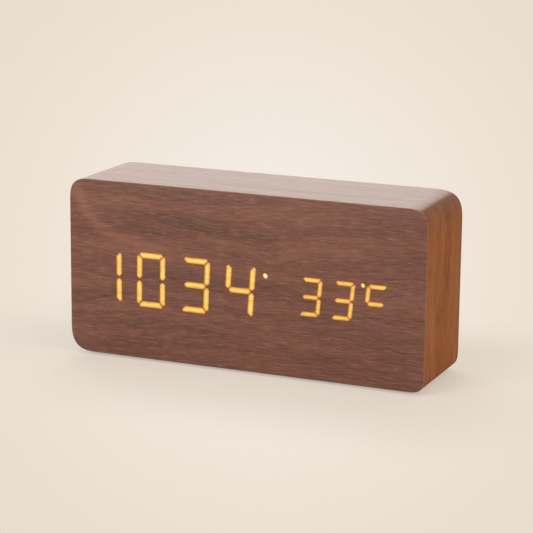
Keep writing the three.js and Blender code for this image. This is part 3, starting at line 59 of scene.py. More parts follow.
bpy.context.scene.view_settings.view_transform = "Standard"

# The room is a pale photographer's tent: an even soft glow from everywhere, one large soft box
# behind the clock that lays a sheen on its top, and two that light it less, from the front left
# and from the right.
TENT_WALL = "#E9DDCC"
TENT_GLOW = "#F4F1EC"
TENT_STRENGTH = 0.55


def colour(sheet_hex):
    """Turns an sRGB hex colour into the linear colour that Blender works in."""
    parts = [int(sheet_hex[i:i + 2], 16) / 255 for i in (1, 3, 5)]
    return [p / 12.92 if p <= 0.04045 else ((p + 0.055) / 1.055) ** 2.4 for p in parts] + [1]


def connect(tree, node, sockets):
    """Sets a shader node's sockets to values, or links them to other nodes or their outputs."""
    for name, value in sockets.items():
        if isinstance(value, bpy.types.Node):
            value = value.outputs[0]
        if isinstance(value, bpy.types.NodeSocket):
            tree.links.new(value, node.inputs[name])
        else:
            node.inputs[name].default_value = value


def add(tree, kind, sockets=None, stops=None, **options):
    """Adds one shader node with its options, socket values or links, and ramp stops."""
    node = tree.nodes.new("ShaderNode" + kind)
    for option, value in options.items():
        setattr(node, option, value)
    connect(tree, node, sockets or {})
    if stops:
        # a new ramp has a first and a last stop already
        ramp = node.color_ramp.elements
        for place, _ in stops[1:-1]:
            ramp.new(place)
        for stop, (place, tone) in zip(ramp, stops):
            stop.position = place
            stop.color = colour(tone) if isinstance(tone, str) else (tone, tone, tone, 1)
    return node


def seen_rays(tree):
    """One for rays that show a surface to the camera, also by gloss or glass, and else zero."""
    rays = add(tree, "LightPath")
    seen = add(tree, "Math", {0: rays.outputs["Is Camera Ray"], 1: rays.outputs["Is Glossy Ray"]},
               operation="MAXIMUM")
    return add(tree, "Math", {0: seen, 1: rays.outputs["Is Transmission Ray"]}, operation="MAXIMUM")


def soft_box(name, place, aim, width, height, watts, tint):
    """Hangs a rectangular lamp at a place, turned to face a point."""
    lamp = bpy.data.lights.new(name, "AREA")
    lamp.shape = "RECTANGLE"
    lamp.size = width
    lamp.size_y = height
    lamp.energy = watts
    lamp.color = colour(tint)[:3]
    holder = bpy.data.objects.new(name, lamp)
    holder.visible_camera = False
    holder.location = place
    holder.rotation_euler = (Vector(aim) - Vector(place)).to_track_quat("-Z", "Y").to_euler()
    bpy.context.collection.objects.link(holder)


world = bpy.data.worlds.new("tent")
bpy.context.scene.world = world
world.use_nodes = True
tree = world.node_tree
tree.nodes.clear()
tent_glow = add(tree, "Background", {"Color": colour(TENT_GLOW), "Strength": TENT_STRENGTH})
tent_wall = add(tree, "Background", {"Color": colour(TENT_WALL)})
tent = add(tree, "MixShader", {0: seen_rays(tree), 1: tent_glow, 2: tent_wall})
add(tree, "OutputWorld", {"Surface": tent})
soft_box("back_box", (-0.55, 1.0, 0.48), (0, 0, 0.05), 1.16, 0.7, 7.6, "#FFFBF6")
soft_box("front_box", (-0.55, -1.3, 0.75), (0, 0, 0.03), 0.9, 0.9, 10, "#FFF6EC")
soft_box("right_box", (1.3, -0.1, 0.9), (0, 0, 0.03), 0.8, 0.8, 6, "#FFDFB4")

# The clock stands on a wide sheet of cream paper that fades into the tent wall far away. A round
# pool of light is painted on it behind the clock, as glow. Near the clock, half of what the camera
# sees is the matt paper with its shadow, and further off it is all the painted pool's glow, so the
# shadow stays light.
PAPER_RADIUS = 14
POOL_SPOT, POOL_AXIS, POOL_EDGE = (0.31, -0.72, 0.22), (-0.3828, 0.8972, -0.2203), 0.2
HALF_FOOTPRINT = (0.075, 0.021, 0)
SHADOW_FULL, SHADOW_END = 0.02, 0.085


def start_material(name):
    """Starts a material, and gives it with its node tree and its shader."""
    material = bpy.data.materials.new(name)
    material.use_nodes = True
    return material, material.node_tree, material.node_tree.nodes["Principled BSDF"]


bpy.ops.object.select_all(action="DESELECT")
bpy.ops.mesh.primitive_circle_add(vertices=96, radius=PAPER_RADIUS, fill_type="TRIFAN")
sheet = bpy.context.object
sheet.name = sheet.data.name = "paper_sheet"
paper, tree, shader = start_material("cream paper, matt")
tree.nodes.clear()
place = add(tree, "TexCoord").outputs["Object"]
# the painted pool of light: its ramp runs over the angle between its axis and the line from its
# spot to the paper
turn = add(tree, "VectorMath", {0: place, 1: POOL_SPOT}, operation="SUBTRACT")
turn = add(tree, "VectorMath", {0: turn}, operation="NORMALIZE")
turn = add(tree, "VectorMath", {0: turn, 1: POOL_AXIS}, operation="DOT_PRODUCT")
turn = add(tree, "Math", {0: turn.outputs["Value"]}, operation="ARCCOSINE")
turn = add(tree, "Math", {0: turn, 1: POOL_EDGE}, operation="DIVIDE")
painted_pool = add(tree, "ValToRGB", {0: turn}, [
    (0.0, "#F7F1E8"), (0.25, "#F3EBE0"), (0.44, "#F0E6DA"), (0.6, "#ECE3D4"), (0.85, "#EADECE"),
    (1.0, TENT_WALL)])
far = add(tree, "VectorMath", {0: place}, operation="ABSOLUTE")
far = add(tree, "VectorMath", {0: far, 1: HALF_FOOTPRINT}, operation="SUBTRACT")
far = add(tree, "VectorMath", {0: far, 1: (0, 0, 0)}, operation="MAXIMUM")
far = add(tree, "VectorMath", {0: far}, operation="LENGTH")
share = add(tree, "MapRange", {
    "Value": far.outputs["Value"], "From Min": SHADOW_FULL, "From Max": SHADOW_END, "To Min": 0.5},
    interpolation_type="SMOOTHSTEP")
matt = add(tree, "BsdfDiffuse", {"Color": colour("#F2EEE8")})
glow = add(tree, "Emission", {"Color": painted_pool})
shown = add(tree, "MixShader", {0: share, 1: matt, 2: glow})
lit = add(tree, "MixShader", {0: seen_rays(tree), 1: matt, 2: shown})
add(tree, "OutputMaterial", {"Surface": lit})
sheet.data.materials.append(paper)

# The body is a block of brown fibreboard, routed hollow from the back for the clockwork. Only its
# raw inner faces show, around the housing: matt, with pressed fibres in clumps of about 1 mm.
MM = 0.001


def dress(material, *nodes):
    """Gives carried-over solids their finish."""
    for node in nodes:
        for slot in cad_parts[node].material_slots:
            slot.material = material


fibreboard, tree, shader = start_material("fibreboard, routed")
place = add(tree, "TexCoord").outputs["Object"]
clumps = add(tree, "TexNoise", {"Vector": place, "Scale": 0.9 / MM, "Detail": 4.0})
tone = add(tree, "ValToRGB", {0: clumps}, [(0.3, "#96724C"), (0.7, "#BC9A70")])
connect(tree, shader, {"Base Color": tone, "Roughness": 0.9})
dress(fibreboard, "case_body")

# The band is one strip of walnut-grain film, 0.5 mm thick, wrapped round the block with its grain
# running along the strip. Its ends meet under the clock, between the feet.
CASE_WIDTH = 150 * MM
CASE_DEPTH = 41.6 * MM
CASE_BOTTOM = 1 * MM
CASE_TOP = 71.7 * MM
CASE_HEIGHT = CASE_TOP - CASE_BOTTOM
FILM = 0.5 * MM
case_middle = Vector((0, 0, (CASE_BOTTOM + CASE_TOP) / 2))
# how far from each corner its curve starts: (1, 1) is the top right one, (-1, -1) the bottom left
CORNERS = {(1, 1): 9.5 * MM, (-1, 1): 9.8 * MM, (1, -1): 7.2 * MM, (-1, -1): 12.4 * MM}
BACK_CORNER = 12.5 * MM
CORNER_STEPS = 18
# a plain arc is 0.5; above it the curve starts and ends more gently
CORNER_PROFILE = 0.65


def select_faces(piece, wanted):
    """Selects, in edit mode, the faces whose middle and normal pass a test."""
    bm = bmesh.from_edit_mesh(piece.data)
    bm.select_mode = {"FACE"}
    for face in bm.faces:
        face.select_set(bool(wanted(face.calc_center_median(), face.normal)))
    bm.select_flush_mode()
    bmesh.update_edit_mesh(piece.data)


def select_edges(piece, wanted):
    """Selects, in edit mode, the edges whose two ends pass a test."""
    bm = bmesh.from_edit_mesh(piece.data)
    bm.select_mode = {"EDGE"}
    for edge in bm.edges:
        edge.select_set(bool(wanted(edge.verts[0].co, edge.verts[1].co)))
    bm.select_flush_mode()
    bmesh.update_edit_mesh(piece.data)


def start_block(name, size, middle):
    """Adds a block of a size at a place, ready in edit mode with nothing selected."""
    bpy.ops.object.select_all(action="DESELECT")
    bpy.ops.mesh.primitive_cube_add(size=1, location=middle)
    piece = bpy.context.object
    piece.name = piece.data.name = name
    piece.scale = size
    bpy.ops.object.transform_apply(location=True, rotation=True, scale=True)
    bpy.ops.object.mode_set(mode="EDIT")
    bpy.ops.mesh.select_all(action="DESELECT")
    return piece


def round_corners(block, corners=CORNERS):
    """Rounds the four edges of a block that run from front to back."""
    for (side, level), start in corners.items():
        select_edges(block, lambda a, b: abs(a.y - b.y) > FILM / 2 and a.x * side > 0
                     and (a.z - case_middle.z) * level > 0)
        bpy.ops.mesh.bevel(offset=start, segments=CORNER_STEPS, profile=CORNER_PROFILE)


def leave_edit(piece, material, angle=35):
    """Ends edit mode, shades the piece and gives it its material."""
    bpy.ops.object.mode_set(mode="OBJECT")
    bpy.ops.object.shade_smooth_by_angle(angle=math.radians(angle))
    piece.data.materials.clear()
    piece.data.materials.append(material)


def stand_in(piece, node, body="clock_block"):
    """Puts a finished piece in the place of its solid, on its body."""
    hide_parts(node)
    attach(piece, body)


# Walnut-grain film is a print on paper, satin and open-pored: broad bands, growth lines of about
# 1 mm, straight fibres of 6 by 0.4 mm, and pores of 7 by 0.25 mm, painted pale as the sheen that
# they catch. Each layer has its cells per millimetre along the grain and across it, its detail and
# its roughness.
GRAIN = {"wander": (0.012, 0.03, 2.0, 0.45), "ripple": (0.09, 0.2, 3.0, 0.6),
         "bands": (0.012, 0.13, 2.0, 0.5), "lines": (0.045, 0.9, 3.0, 0.6),
         "fibres": (0.16, 2.6, 5.0, 0.8), "pores": (0.14, 4.2, 1.0, 0.5)}
# how far, in millimetres, two of the layers bend the grain, and the fibres' share of that bend
WANDER_LIFT, RIPPLE_LIFT, FIBRE_BEND = 14.0, 2.6, 0.3
# how much each layer counts in the tone, and where the dark, middle and light tones then lie
BANDS_WEIGHT, LINES_WEIGHT, FIBRES_WEIGHT = 0.4, 0.3, 0.8
TONE_PLACES = (0.57, 0.74, 0.91)
# where in the pores' noise one begins and is full, and how much of the tone the painted sheen of a
# pore then covers
PORE_BEGINS, PORE_FULL, PORE_SHEEN_COVER = 0.58, 0.72, 0.65
FIBRE_RELIEF = 0.1 * MM
WALNUT_TONES = ("#4A2A20", "#704436", "#8B5946")
# the right end's tones, warmer and paler than the rest: painted warm light, as falls on that end
END_WARM_LIT_TONES = ("#6E4127", "#98603A", "#A8704A")
# where along the strip, in millimetres from the top's middle, the right end's painted warm light
# and its duller gloss take over
END_WARM_LIGHT_STARTS, END_DULLS, END_REACHED = 66.0, 74.0, 84.0
END_ROUGH = 0.85


def grain_layer(tree, sheet, layer):
    """One layer of the grain, over a sheet that is measured in millimetres."""
    along, across, detail, roughness = GRAIN[layer]
    cells = add(tree, "VectorMath", {0: sheet, 1: (along, across, 0)}, operation="MULTIPLY")
    return add(tree, "TexNoise", {"Vector": cells, "Scale": 1.0, "Detail": detail,
                                  "Roughness": roughness})


def bent(tree, sheet, rise):
    """The sheet with its grain lifted by a rise, in millimetres, across the grain."""
    lift = add(tree, "CombineXYZ", {"Y": rise})
    return add(tree, "VectorMath", {0: sheet, 1: lift}, operation="ADD")


def walnut(name, source, tones, pore_sheen, knot=None, sweep=None, end=False, rough=0.5, ior=1.5):
    """Walnut-grain film, on Object coordinates or on a map that runs along the grain."""
    material, tree, shader = start_material(name)
    place = add(tree, "TexCoord").outputs[source]
    place = add(tree, "Mapping", {"Vector": place, "Scale": (1 / MM, 1 / MM, 1 / MM)})
    spread = add(tree, "SeparateXYZ", {0: place})
    across = spread.outputs["Y" if source == "UV" else "Z"]
    sheet = add(tree, "CombineXYZ", {"X": spread.outputs["X"], "Y": across})
    ripple = add(tree, "Math", {0: grain_layer(tree, sheet, "ripple"), 1: RIPPLE_LIFT},
                 operation="MULTIPLY")
    rise = add(tree, "Math", {0: grain_layer(tree, sheet, "wander"), 1: WANDER_LIFT, 2: ripple},
               operation="MULTIPLY_ADD")
    if knot:
        # the growth lines rise over a knot, in the shape of a bell
        away = add(tree, "VectorMath", {0: sheet, 1: knot["place"]}, operation="SUBTRACT")
        away = add(tree, "VectorMath", {0: away, 1: knot["reach"]}, operation="DIVIDE")
        away = add(tree, "VectorMath", {0: away, 1: away}, operation="DOT_PRODUCT")
        near = add(tree, "Math", {0: away.outputs["Value"], 1: -1.0}, operation="MULTIPLY")
        near = add(tree, "Math", {0: near}, operation="EXPONENT")
        rise = add(tree, "Math", {0: near, 1: knot["lift"], 2: rise}, operation="MULTIPLY_ADD")
    grown = bent(tree, sheet, rise)
    combed = add(tree, "Math", {0: rise, 1: FIBRE_BEND}, operation="MULTIPLY")
    combed = bent(tree, sheet, combed)
    fibres = grain_layer(tree, combed, "fibres")
    blend = add(tree, "Math", {0: grain_layer(tree, grown, "lines"), 1: LINES_WEIGHT},
                operation="MULTIPLY")
    blend = add(tree, "Math", {0: grain_layer(tree, grown, "bands"), 1: BANDS_WEIGHT, 2: blend},
                operation="MULTIPLY_ADD")
    blend = add(tree, "Math", {0: fibres, 1: FIBRES_WEIGHT, 2: blend}, operation="MULTIPLY_ADD")
    if sweep:
        # a pale band comes down steeply from the left edge, levels out and fades
        start, reach, half = sweep["start"], sweep["reach"], sweep["half"]
        fall = add(tree, "MapRange", {"Value": spread.outputs["X"], "From Min": start,
                                      "From Max": start - reach}, clamp=False)
        fall = add(tree, "Math", {0: fall}, operation="EXPONENT")
        tall = add(tree, "Math", {0: fall, 1: half * sweep["drop"] / reach, 2: half},
                   operation="MULTIPLY_ADD")
        fall = add(tree, "Math", {0: fall, 1: sweep["drop"], 2: sweep["level"]},
                   operation="MULTIPLY_ADD")
        away = add(tree, "Math", {0: across, 1: fall}, operation="SUBTRACT")
        away = add(tree, "Math", {0: away, 1: tall}, operation="DIVIDE")
        away = add(tree, "Math", {0: away, 1: away}, operation="MULTIPLY")
        near = add(tree, "Math", {0: away, 1: -1.0}, operation="MULTIPLY")
        near = add(tree, "Math", {0: near}, operation="EXPONENT")
        left = add(tree, "MapRange", {"Value": spread.outputs["X"], "From Min": sweep["end"],
                                      "From Max": start, "To Max": sweep["lift"]})
        blend = add(tree, "Math", {0: near, 1: left, 2: blend}, operation="MULTIPLY_ADD")
    tone = add(tree, "ValToRGB", {0: blend}, list(zip(TONE_PLACES, tones))).outputs[0]
    connect(tree, shader, {"Roughness": rough, "IOR": ior})
    if end:
        # where the strip turns down the right end of the case, its tone is painted warmer and
        # paler, as the warm light that falls on that end, and its gloss is duller
        warm_light_share = add(tree, "MapRange", {"Value": spread.outputs["X"], "From Min": END_WARM_LIGHT_STARTS,
                                     "From Max": END_REACHED})
        warm_lit_grain = add(tree, "ValToRGB", {0: blend}, list(zip(TONE_PLACES, END_WARM_LIT_TONES)))
        tone = add(tree, "Mix", {0: warm_light_share, 6: tone, 7: warm_lit_grain}, data_type="RGBA").outputs[2]
        dull = add(tree, "MapRange", {
            "Value": spread.outputs["X"], "From Min": END_DULLS, "From Max": END_REACHED,
            "To Min": rough, "To Max": END_ROUGH})
        connect(tree, shader, {"Roughness": dull})
    pores = add(tree, "MapRange", {
        "Value": grain_layer(tree, combed, "pores"), "From Min": PORE_BEGINS,
        "From Max": PORE_FULL, "To Max": PORE_SHEEN_COVER})
    # the pores are painted paler, as the sheen that they catch
    pore_sheened = add(tree, "Mix", {0: pores, 6: tone, 7: colour(pore_sheen)}, data_type="RGBA")
    relief = add(tree, "Bump", {"Height": fibres, "Strength": 0.12, "Distance": FIBRE_RELIEF})
    connect(tree, shader, {"Base Color": pore_sheened.outputs[2], "Normal": relief})
    return material


# the low index stands for open pores, which mirror little from the front yet shine at a flat angle
band_walnut = walnut("walnut-grain film, band", "UV", WALNUT_TONES, "#947C74", end=True, rough=0.3,
                     ior=1.12)
front_edge = -CASE_DEPTH / 2 + FILM
back_edge = CASE_DEPTH / 2 - FILM
band = start_block("walnut_band", (CASE_WIDTH, back_edge - front_edge, CASE_HEIGHT), case_middle)
round_corners(band)
select_faces(band, lambda c, n: abs(n.y) > 0.9)
bpy.ops.mesh.delete(type="FACE")
# the top right corner is rounder at the back than at the front
sharp = Vector((CASE_WIDTH / 2, back_edge, CASE_TOP))
reach = CORNERS[1, 1] + FILM / 2
bm = bmesh.from_edit_mesh(band.data)
for point in bm.verts:
    in_corner = sharp.x - point.co.x < reach and sharp.z - point.co.z < reach
    point.select_set(point.co.y > 0 and in_corner)
bmesh.update_edit_mesh(band.data)
spread_out = BACK_CORNER / CORNERS[1, 1]
bpy.ops.transform.resize(value=(spread_out, 1, spread_out), center_override=sharp)
bpy.ops.mesh.select_all(action="SELECT")
bpy.ops.mesh.bisect(plane_co=(0, 0, 0), plane_no=(1, 0, 0))
bpy.ops.object.mode_set(mode="OBJECT")
# the grain runs along the strip, so each point keeps its way round the case from the top's middle
along = {}
for at_back in (False, True):
    for side in (1, -1):
        ring = [point for point in band.data.vertices
                if (point.co.y > 0) == at_back and point.co.x * side > -FILM / 100]
        ring.sort(key=lambda point: math.atan2(abs(point.co.x), point.co.z - case_middle.z))
        walked = 0
        along[ring[0].index, side] = walked
        for one, other in zip(ring, ring[1:]):
            walked += (other.co - one.co).length
            along[other.index, side] = side * walked
grain = band.data.uv_layers[0]
for face in band.data.polygons:
    side = 1 if face.center.x > 0 else -1
    for loop in face.loop_indices:
        point = band.data.vertices[band.data.loops[loop].vertex_index]
        grain.data[loop].uv = (along[point.index, side], point.co.y)
thick = band.modifiers.new("thickness", "SOLIDIFY")
thick.thickness = FILM
thick.offset = -1
bpy.ops.object.modifier_apply(modifier="thickness")
leave_edit(band, band_walnut)
stand_in(band, "wrap_veneer")

# The front is one sheet of the same film, thin enough for the light bars behind it to shine
# through. The film softens them: each bar is yellow in its middle and orange where it runs out.
front_middle = case_middle + Vector((0, -CASE_DEPTH / 2, 0))
# in millimetres: a digit's width and half its height between the middles of its bars, a bar's
# width, the pitch of the digits, and the first one's middle, measured from the front's middle
BIG = {"column": 10.1, "row": 9.85, "bar": 2.1, "pitch": 19.1, "first_x": -58.25, "middle_z": -3.1}
SMALL = {"column": 7.0, "row": 6.75, "bar": 1.5, "pitch": 13.2, "first_x": 28.6, "middle_z": -2.65}
# each digit's place in its row, its lean in degrees and the bars that are lit
DIGITS = [(BIG, 0, 0.0, "bc"), (BIG, 1, 0.7, "abcdef"), (BIG, 2, 2.3, "abcdg"),
          (BIG, 3, 3.7, "bcfg"), (SMALL, 0, 5.0, "abcdg"), (SMALL, 1, 6.0, "abcdg"),
          (SMALL, 2, 6.0, "afg")]
# a dot is a short slanted oval, from one point to another with a radius
DOTS = [((9.66, 4.04), (10.0, 3.62), 0.81), ((49.72, 4.35), (50.0, 4.03), 0.69)]
DOT_GAIN = 4.5
# the corners of a bar's end, in half bars: outwards across the bar, and inwards along it
corner_end = [(-1, 1.32), (0.25, 0.08), (1, 0.5)]
middle_end = [(-1, 1.35), (-0.3, 0.58), (0.3, 0.58), (1, 1.35)]
# where each bar starts and ends, in half columns and rows, and the kinds of its ends
bar_ends = {"a": ((-1, 1), (1, 1), corner_end, corner_end),
            "b": ((1, 1), (1, 0), corner_end, middle_end),
            "c": ((1, -1), (1, 0), corner_end, middle_end),
            "d": ((-1, -1), (1, -1), corner_end, corner_end),
            "e": ((-1, -1), (-1, 0), corner_end, middle_end),
            "f": ((-1, 1), (-1, 0), corner_end, middle_end),
            "g": ((-1, 0), (1, 0), middle_end, middle_end)}
# depths inside a bar, in millimetres: between the first two the light's tone runs from orange to
# pale yellow, between the next two its strength rises to full, and the last is dark
TONE_FROM, TONE_TO = -0.5, 2.0
LIGHT_FROM, LIGHT_TO, FULL_LIGHT = -0.35, 0.2, 0.95
NO_LIGHT = -3.0
# between these two values of the fibres' noise, the light that they let through rises as given
FIBRE_FROM, FIBRE_TO, LEAST_LIGHT, MOST_LIGHT = 0.3, 0.7, 0.76, 1.08
# the part of the face that the bars lie in, from the front's middle, and the step of its grid
GLOW_LOW, GLOW_HIGH = Vector((-67, 0, -15.5)) * MM, Vector((62, 0, 9.5)) * MM
GLOW_STEP = 0.3 * MM
# the radius of the film's rolled rim
ROLL = 0.3 * MM
# a knot, and a pale band at the left end, in millimetres apart from the lift in the band's tone
KNOT = {"place": (12, 47, 0), "reach": (6, 3, 1), "lift": 4}
SWEEP = {"drop": 18, "level": 46.5, "start": -70.5, "end": -16.5, "reach": 9, "half": 1.8,
         "lift": 0.15}


def bar_outline(style, column, lean, bar):
    """The corners of one light bar, in millimetres from the middle of the front."""
    start, end, start_kind, end_kind = bar_ends[bar]
    start = Vector((start[0] * style["column"] / 2, start[1] * style["row"]))
    end = Vector((end[0] * style["column"] / 2, end[1] * style["row"]))
    run = (end - start).normalized()
    outward = Vector((-run.y, run.x))
    if outward.dot(start + end) < 0:
        outward = -outward
    half_bar = style["bar"] / 2
    points = [start + outward * across * half_bar + run * inward * half_bar
              for across, inward in start_kind]
    points += [end + outward * across * half_bar - run * inward * half_bar
               for across, inward in reversed(end_kind)]
    slope = math.tan(math.radians(lean))
    left = style["first_x"] + column * style["pitch"]
    return [(left + p.x + p.y * slope, style["middle_z"] + p.y) for p in points]


def away_from(points, start, end):
    """How far each point is from the straight line between two places."""
    run = np.subtract(end, start)
    share = np.clip((points - start) @ run / (run @ run), 0, 1)
    return np.hypot(*(points - start - np.outer(share, run)).T)


def depth_inside(points, outline):
    """How far inside an outline each point is, in millimetres; outside it is below zero."""
    inside = np.zeros(len(points), bool)
    nearest = np.full(len(points), np.inf)
    for (ax, az), (bx, bz) in zip(outline, outline[1:] + outline[:1]):
        nearest = np.minimum(nearest, away_from(points, (ax, az), (bx, bz)))
        crosses = (points[:, 1] < az) != (points[:, 1] < bz)
        share = (points[:, 1] - az) / ((bz - az) or np.inf)
        inside ^= crosses & (points[:, 0] < ax + share * (bx - ax))
    return np.where(inside, nearest, -nearest)


# the front's film is rougher than the band's, so that its shine is spread thin and even
front_walnut = walnut("walnut-grain film, front", "Object", WALNUT_TONES, "#967A74", knot=KNOT,
                      sweep=SWEEP)
tree = front_walnut.node_tree
depth = add(tree, "Attribute", attribute_name="bar_depth").outputs["Fac"]
share = add(tree, "MapRange", {"Value": depth, "From Min": TONE_FROM, "From Max": TONE_TO})
light = add(tree, "ValToRGB", {0: share}, [
    (0.0, "#8E5600"), (0.2, "#DE9610"), (0.34, "#EEB834"), (0.62, "#FFE56A"), (0.95, "#FFFAB4")])
power = add(tree, "MapRange", {
    "Value": depth, "From Min": LIGHT_FROM, "From Max": LIGHT_TO, "To Max": FULL_LIGHT},
    interpolation_type="SMOOTHSTEP")
# the fibres of the film, here in cells of about 3 by 1 mm, hold back a little of the light
place = add(tree, "TexCoord").outputs["Object"]
place = add(tree, "Mapping", {"Vector": place, "Scale": (0.32 / MM, 0.32 / MM, 1.1 / MM)})
held = add(tree, "TexNoise", {"Vector": place, "Scale": 1.0, "Detail": 3.0})
held = add(tree, "MapRange", {
    "Value": held, "From Min": FIBRE_FROM, "From Max": FIBRE_TO, "To Min": LEAST_LIGHT,
    "To Max": MOST_LIGHT})
power = add(tree, "Math", {0: power, 1: held}, operation="MULTIPLY")
connect(tree, tree.nodes["Principled BSDF"], {"Emission Color": light, "Emission Strength": power})
front = start_block("walnut_front", (CASE_WIDTH, FILM, CASE_HEIGHT),
                    front_middle + Vector((0, FILM / 2, 0)))
round_corners(front)
select_edges(front, lambda a, b: max(a.y, b.y) < front_middle.y + FILM / 4)
bpy.ops.mesh.bevel(offset=ROLL, segments=3)
# the face gets a fine grid where the bars shine, joined to the rim by one fill
select_faces(front, lambda c, n: n.y < -0.999)
bpy.ops.mesh.delete(type="ONLY_FACE")
bpy.ops.mesh.select_all(action="DESELECT")
glow_size = GLOW_HIGH - GLOW_LOW
glow_middle = (GLOW_LOW + GLOW_HIGH) / 2 + front_middle
bpy.ops.mesh.primitive_grid_add(
    x_subdivisions=round(glow_size.x / GLOW_STEP), y_subdivisions=round(glow_size.z / GLOW_STEP),
    size=1, location=glow_middle, rotation=(math.pi / 2, 0, 0))
bpy.ops.transform.resize(value=(glow_size.x, 1, glow_size.z), center_override=glow_middle)
# open edges are picked in edge mode, with nothing selected before
select_edges(front, lambda a, b: False)
bpy.ops.mesh.select_non_manifold(extend=False)
bpy.ops.mesh.fill(use_beauty=True)
leave_edit(front, front_walnut, 30)
# the rim's paler tone is partly the cut paper core and partly a painted highlight along the rim
rim_core_and_highlight = walnut("walnut-grain film, cut edge, painted highlight", "Object", ("#6A4232", "#835844", "#8E6450"),
                  "#98766A")
# the cosine of 14 degrees: a face that is turned further from the sheet's is part of its rim
RIM_TURNED = 0.97


def show_rim_core_and_highlight(film):
    """Gives a film's rolled rim a paler colour: partly its paper core, cut through there, and
    partly a painted highlight along the rim.
    """
    film.data.materials.append(rim_core_and_highlight)
    for face in film.data.polygons:
        face.material_index = int(abs(face.normal.y) < RIM_TURNED)


show_rim_core_and_highlight(front)
points = np.array([(v.co.x, v.co.z - case_middle.z) for v in front.data.vertices]) / MM
depths = np.full(len(points), NO_LIGHT)
for style, column, lean, lit_bars in DIGITS:
    for bar in lit_bars:
        depths = np.maximum(depths, depth_inside(points, bar_outline(style, column, lean, bar)))
for dot_top, dot_bottom, dot_radius in DOTS:
    depths = np.maximum(depths, DOT_GAIN * (dot_radius - away_from(points, dot_top, dot_bottom)))
on_face = np.array([v.co.y < front_middle.y + 0.001 * MM for v in front.data.vertices])
bar_depth = front.data.attributes.new("bar_depth", "FLOAT", "POINT")
bar_depth.data.foreach_set("value", np.where(on_face, depths, NO_LIGHT).astype(np.float32))
stand_in(front, "front_veneer")

# Behind the film, each bar is the front face of a frosted acrylic light guide, pressed into the
# mask. The guides are copies of the solids, with their faces set back to the glue line.
GLUE = 0.05 * MM


def copied(node, material, body="clock_block", bevel=0):
    """Makes a clean piece from a solid: its triangles are joined, and its edges may be softened."""
    piece = bpy.data.objects.new(node + "_piece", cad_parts[node].data.copy())
    piece.data.name = piece.name
    bpy.context.collection.objects.link(piece)
    bpy.ops.object.select_all(action="DESELECT")
    bpy.context.view_layer.objects.active = piece
    piece.select_set(True)
    bpy.ops.object.mode_set(mode="EDIT")
    bpy.ops.mesh.select_all(action="SELECT")
    bpy.ops.mesh.remove_doubles(threshold=0.002 * MM)
    bpy.ops.mesh.customdata_custom_splitnormals_clear()
    bpy.ops.mesh.dissolve_limited(angle_limit=math.radians(0.5))
    bpy.ops.object.mode_set(mode="OBJECT")
    if bevel:
        soften = piece.modifiers.new("soft edges", "BEVEL")
        soften.width = bevel
        soften.segments = 2
        soften.limit_method = "ANGLE"
        soften.angle_limit = math.radians(40)
        soften.use_clamp_overlap = True
        bpy.ops.object.modifier_apply(modifier="soft edges")
    leave_edit(piece, material, 30)
    if bevel:
        even = piece.modifiers.new("even faces", "WEIGHTED_NORMAL")
        even.keep_sharp = True
        bpy.ops.object.modifier_apply(modifier="even faces")
    stand_in(piece, node, body)
    return piece


def even_finish(name, tone, speck, rough, grain, relief, metal=False, ior=1.5):
    """A moulded or plated skin: its tone drifts a little, its grain shows in relief and gloss."""
    material, tree, shader = start_material(name)
    connect(tree, shader, {"Metallic": 1.0} if metal else {"IOR": ior})
    place = add(tree, "TexCoord").outputs["Object"]
    # the tone drifts in patches of about 8 mm
    drift = add(tree, "TexNoise", {"Vector": place, "Scale": 0.12 / MM, "Detail": 3.0})
    tones = add(tree, "ValToRGB", {0: drift}, [(0.35, tone), (0.65, speck)])
    # real grains of 0.02 to 0.1 mm are too fine to show, so they are drawn at 0.12 to 0.3 mm
    skin = add(tree, "TexNoise", {"Vector": place, "Scale": 1 / (grain * MM), "Detail": 2.0})
    gloss = add(tree, "MapRange", {"Value": skin, "From Min": 0.3, "From Max": 0.7,
                                   "To Min": rough - 0.06, "To Max": rough + 0.06})
    bump = add(tree, "Bump", {"Height": skin, "Strength": relief, "Distance": grain * MM * 0.4})
    connect(tree, shader, {"Base Color": tones, "Roughness": gloss, "Normal": bump})
    return material


# frosting makes the clear acrylic milky and dull
acrylic = even_finish("acrylic, frosted", "#E6E2D6", "#EFEBE0", 0.5, 0.2, 0.2, ior=1.49)
for name in ("hour_tens", "hour_units", "minute_tens", "minute_units", "degree_tens",
             "degree_units", "degree_sign", "degree_dot", "alarm_dot"):
    guide = copied(name + "_guide", acrylic)
    for point in guide.data.vertices:
        point.co.y = max(point.co.y, front_edge + GLUE)
copied("colon_guide", acrylic)

# The display stack: a black mask that keeps each bar's light apart, and the board with the LEDs,
# held on the mask's posts by melted heads. The mask is the dullest of the black mouldings, so that
# it swallows stray light.
mask_abs = even_finish("ABS, black, moulded matt", "#141415", "#1B1B1D", 0.6, 0.25, 0.25)
dress(mask_abs, "display_mask")
# the circuit boards are glass laminate under green lacquer, half glossy, with paler lines 1.3 mm
# apart where the copper tracks lie under it
circuit, tree, shader = start_material("glass laminate, green solder lacquer")
place = add(tree, "TexCoord").outputs["Object"]
upright = add(tree, "Mapping", {"Vector": place, "Rotation": (math.pi / 2, 0, 0)})
tracks = add(tree, "TexBrick", {
    "Vector": upright, "Scale": 1.0, "Brick Width": 7 * MM, "Row Height": 1.3 * MM,
    "Mortar Size": 0.15 * MM, "Color1": colour("#1C5233"), "Color2": colour("#1A4C30"),
    "Mortar": colour("#2F7448")})
ridge = add(tree, "Bump", {"Height": tracks.outputs["Fac"], "Strength": 0.3, "Distance": 0.04 * MM})
connect(tree, shader, {"Base Color": tracks, "Roughness": 0.38, "Normal": ridge})
dress(circuit, "display_board", "main_board")

# The back is a panel of the same fibreboard under a sheet of the film, with an opening for the
# clockwork's housing. The film's rim is rolled like the front's.
OPENING_WIDTH, OPENING_HEIGHT, OPENING_CORNER = 130.6 * MM, 49.6 * MM, 4.3 * MM
dress(fibreboard, "back_board")
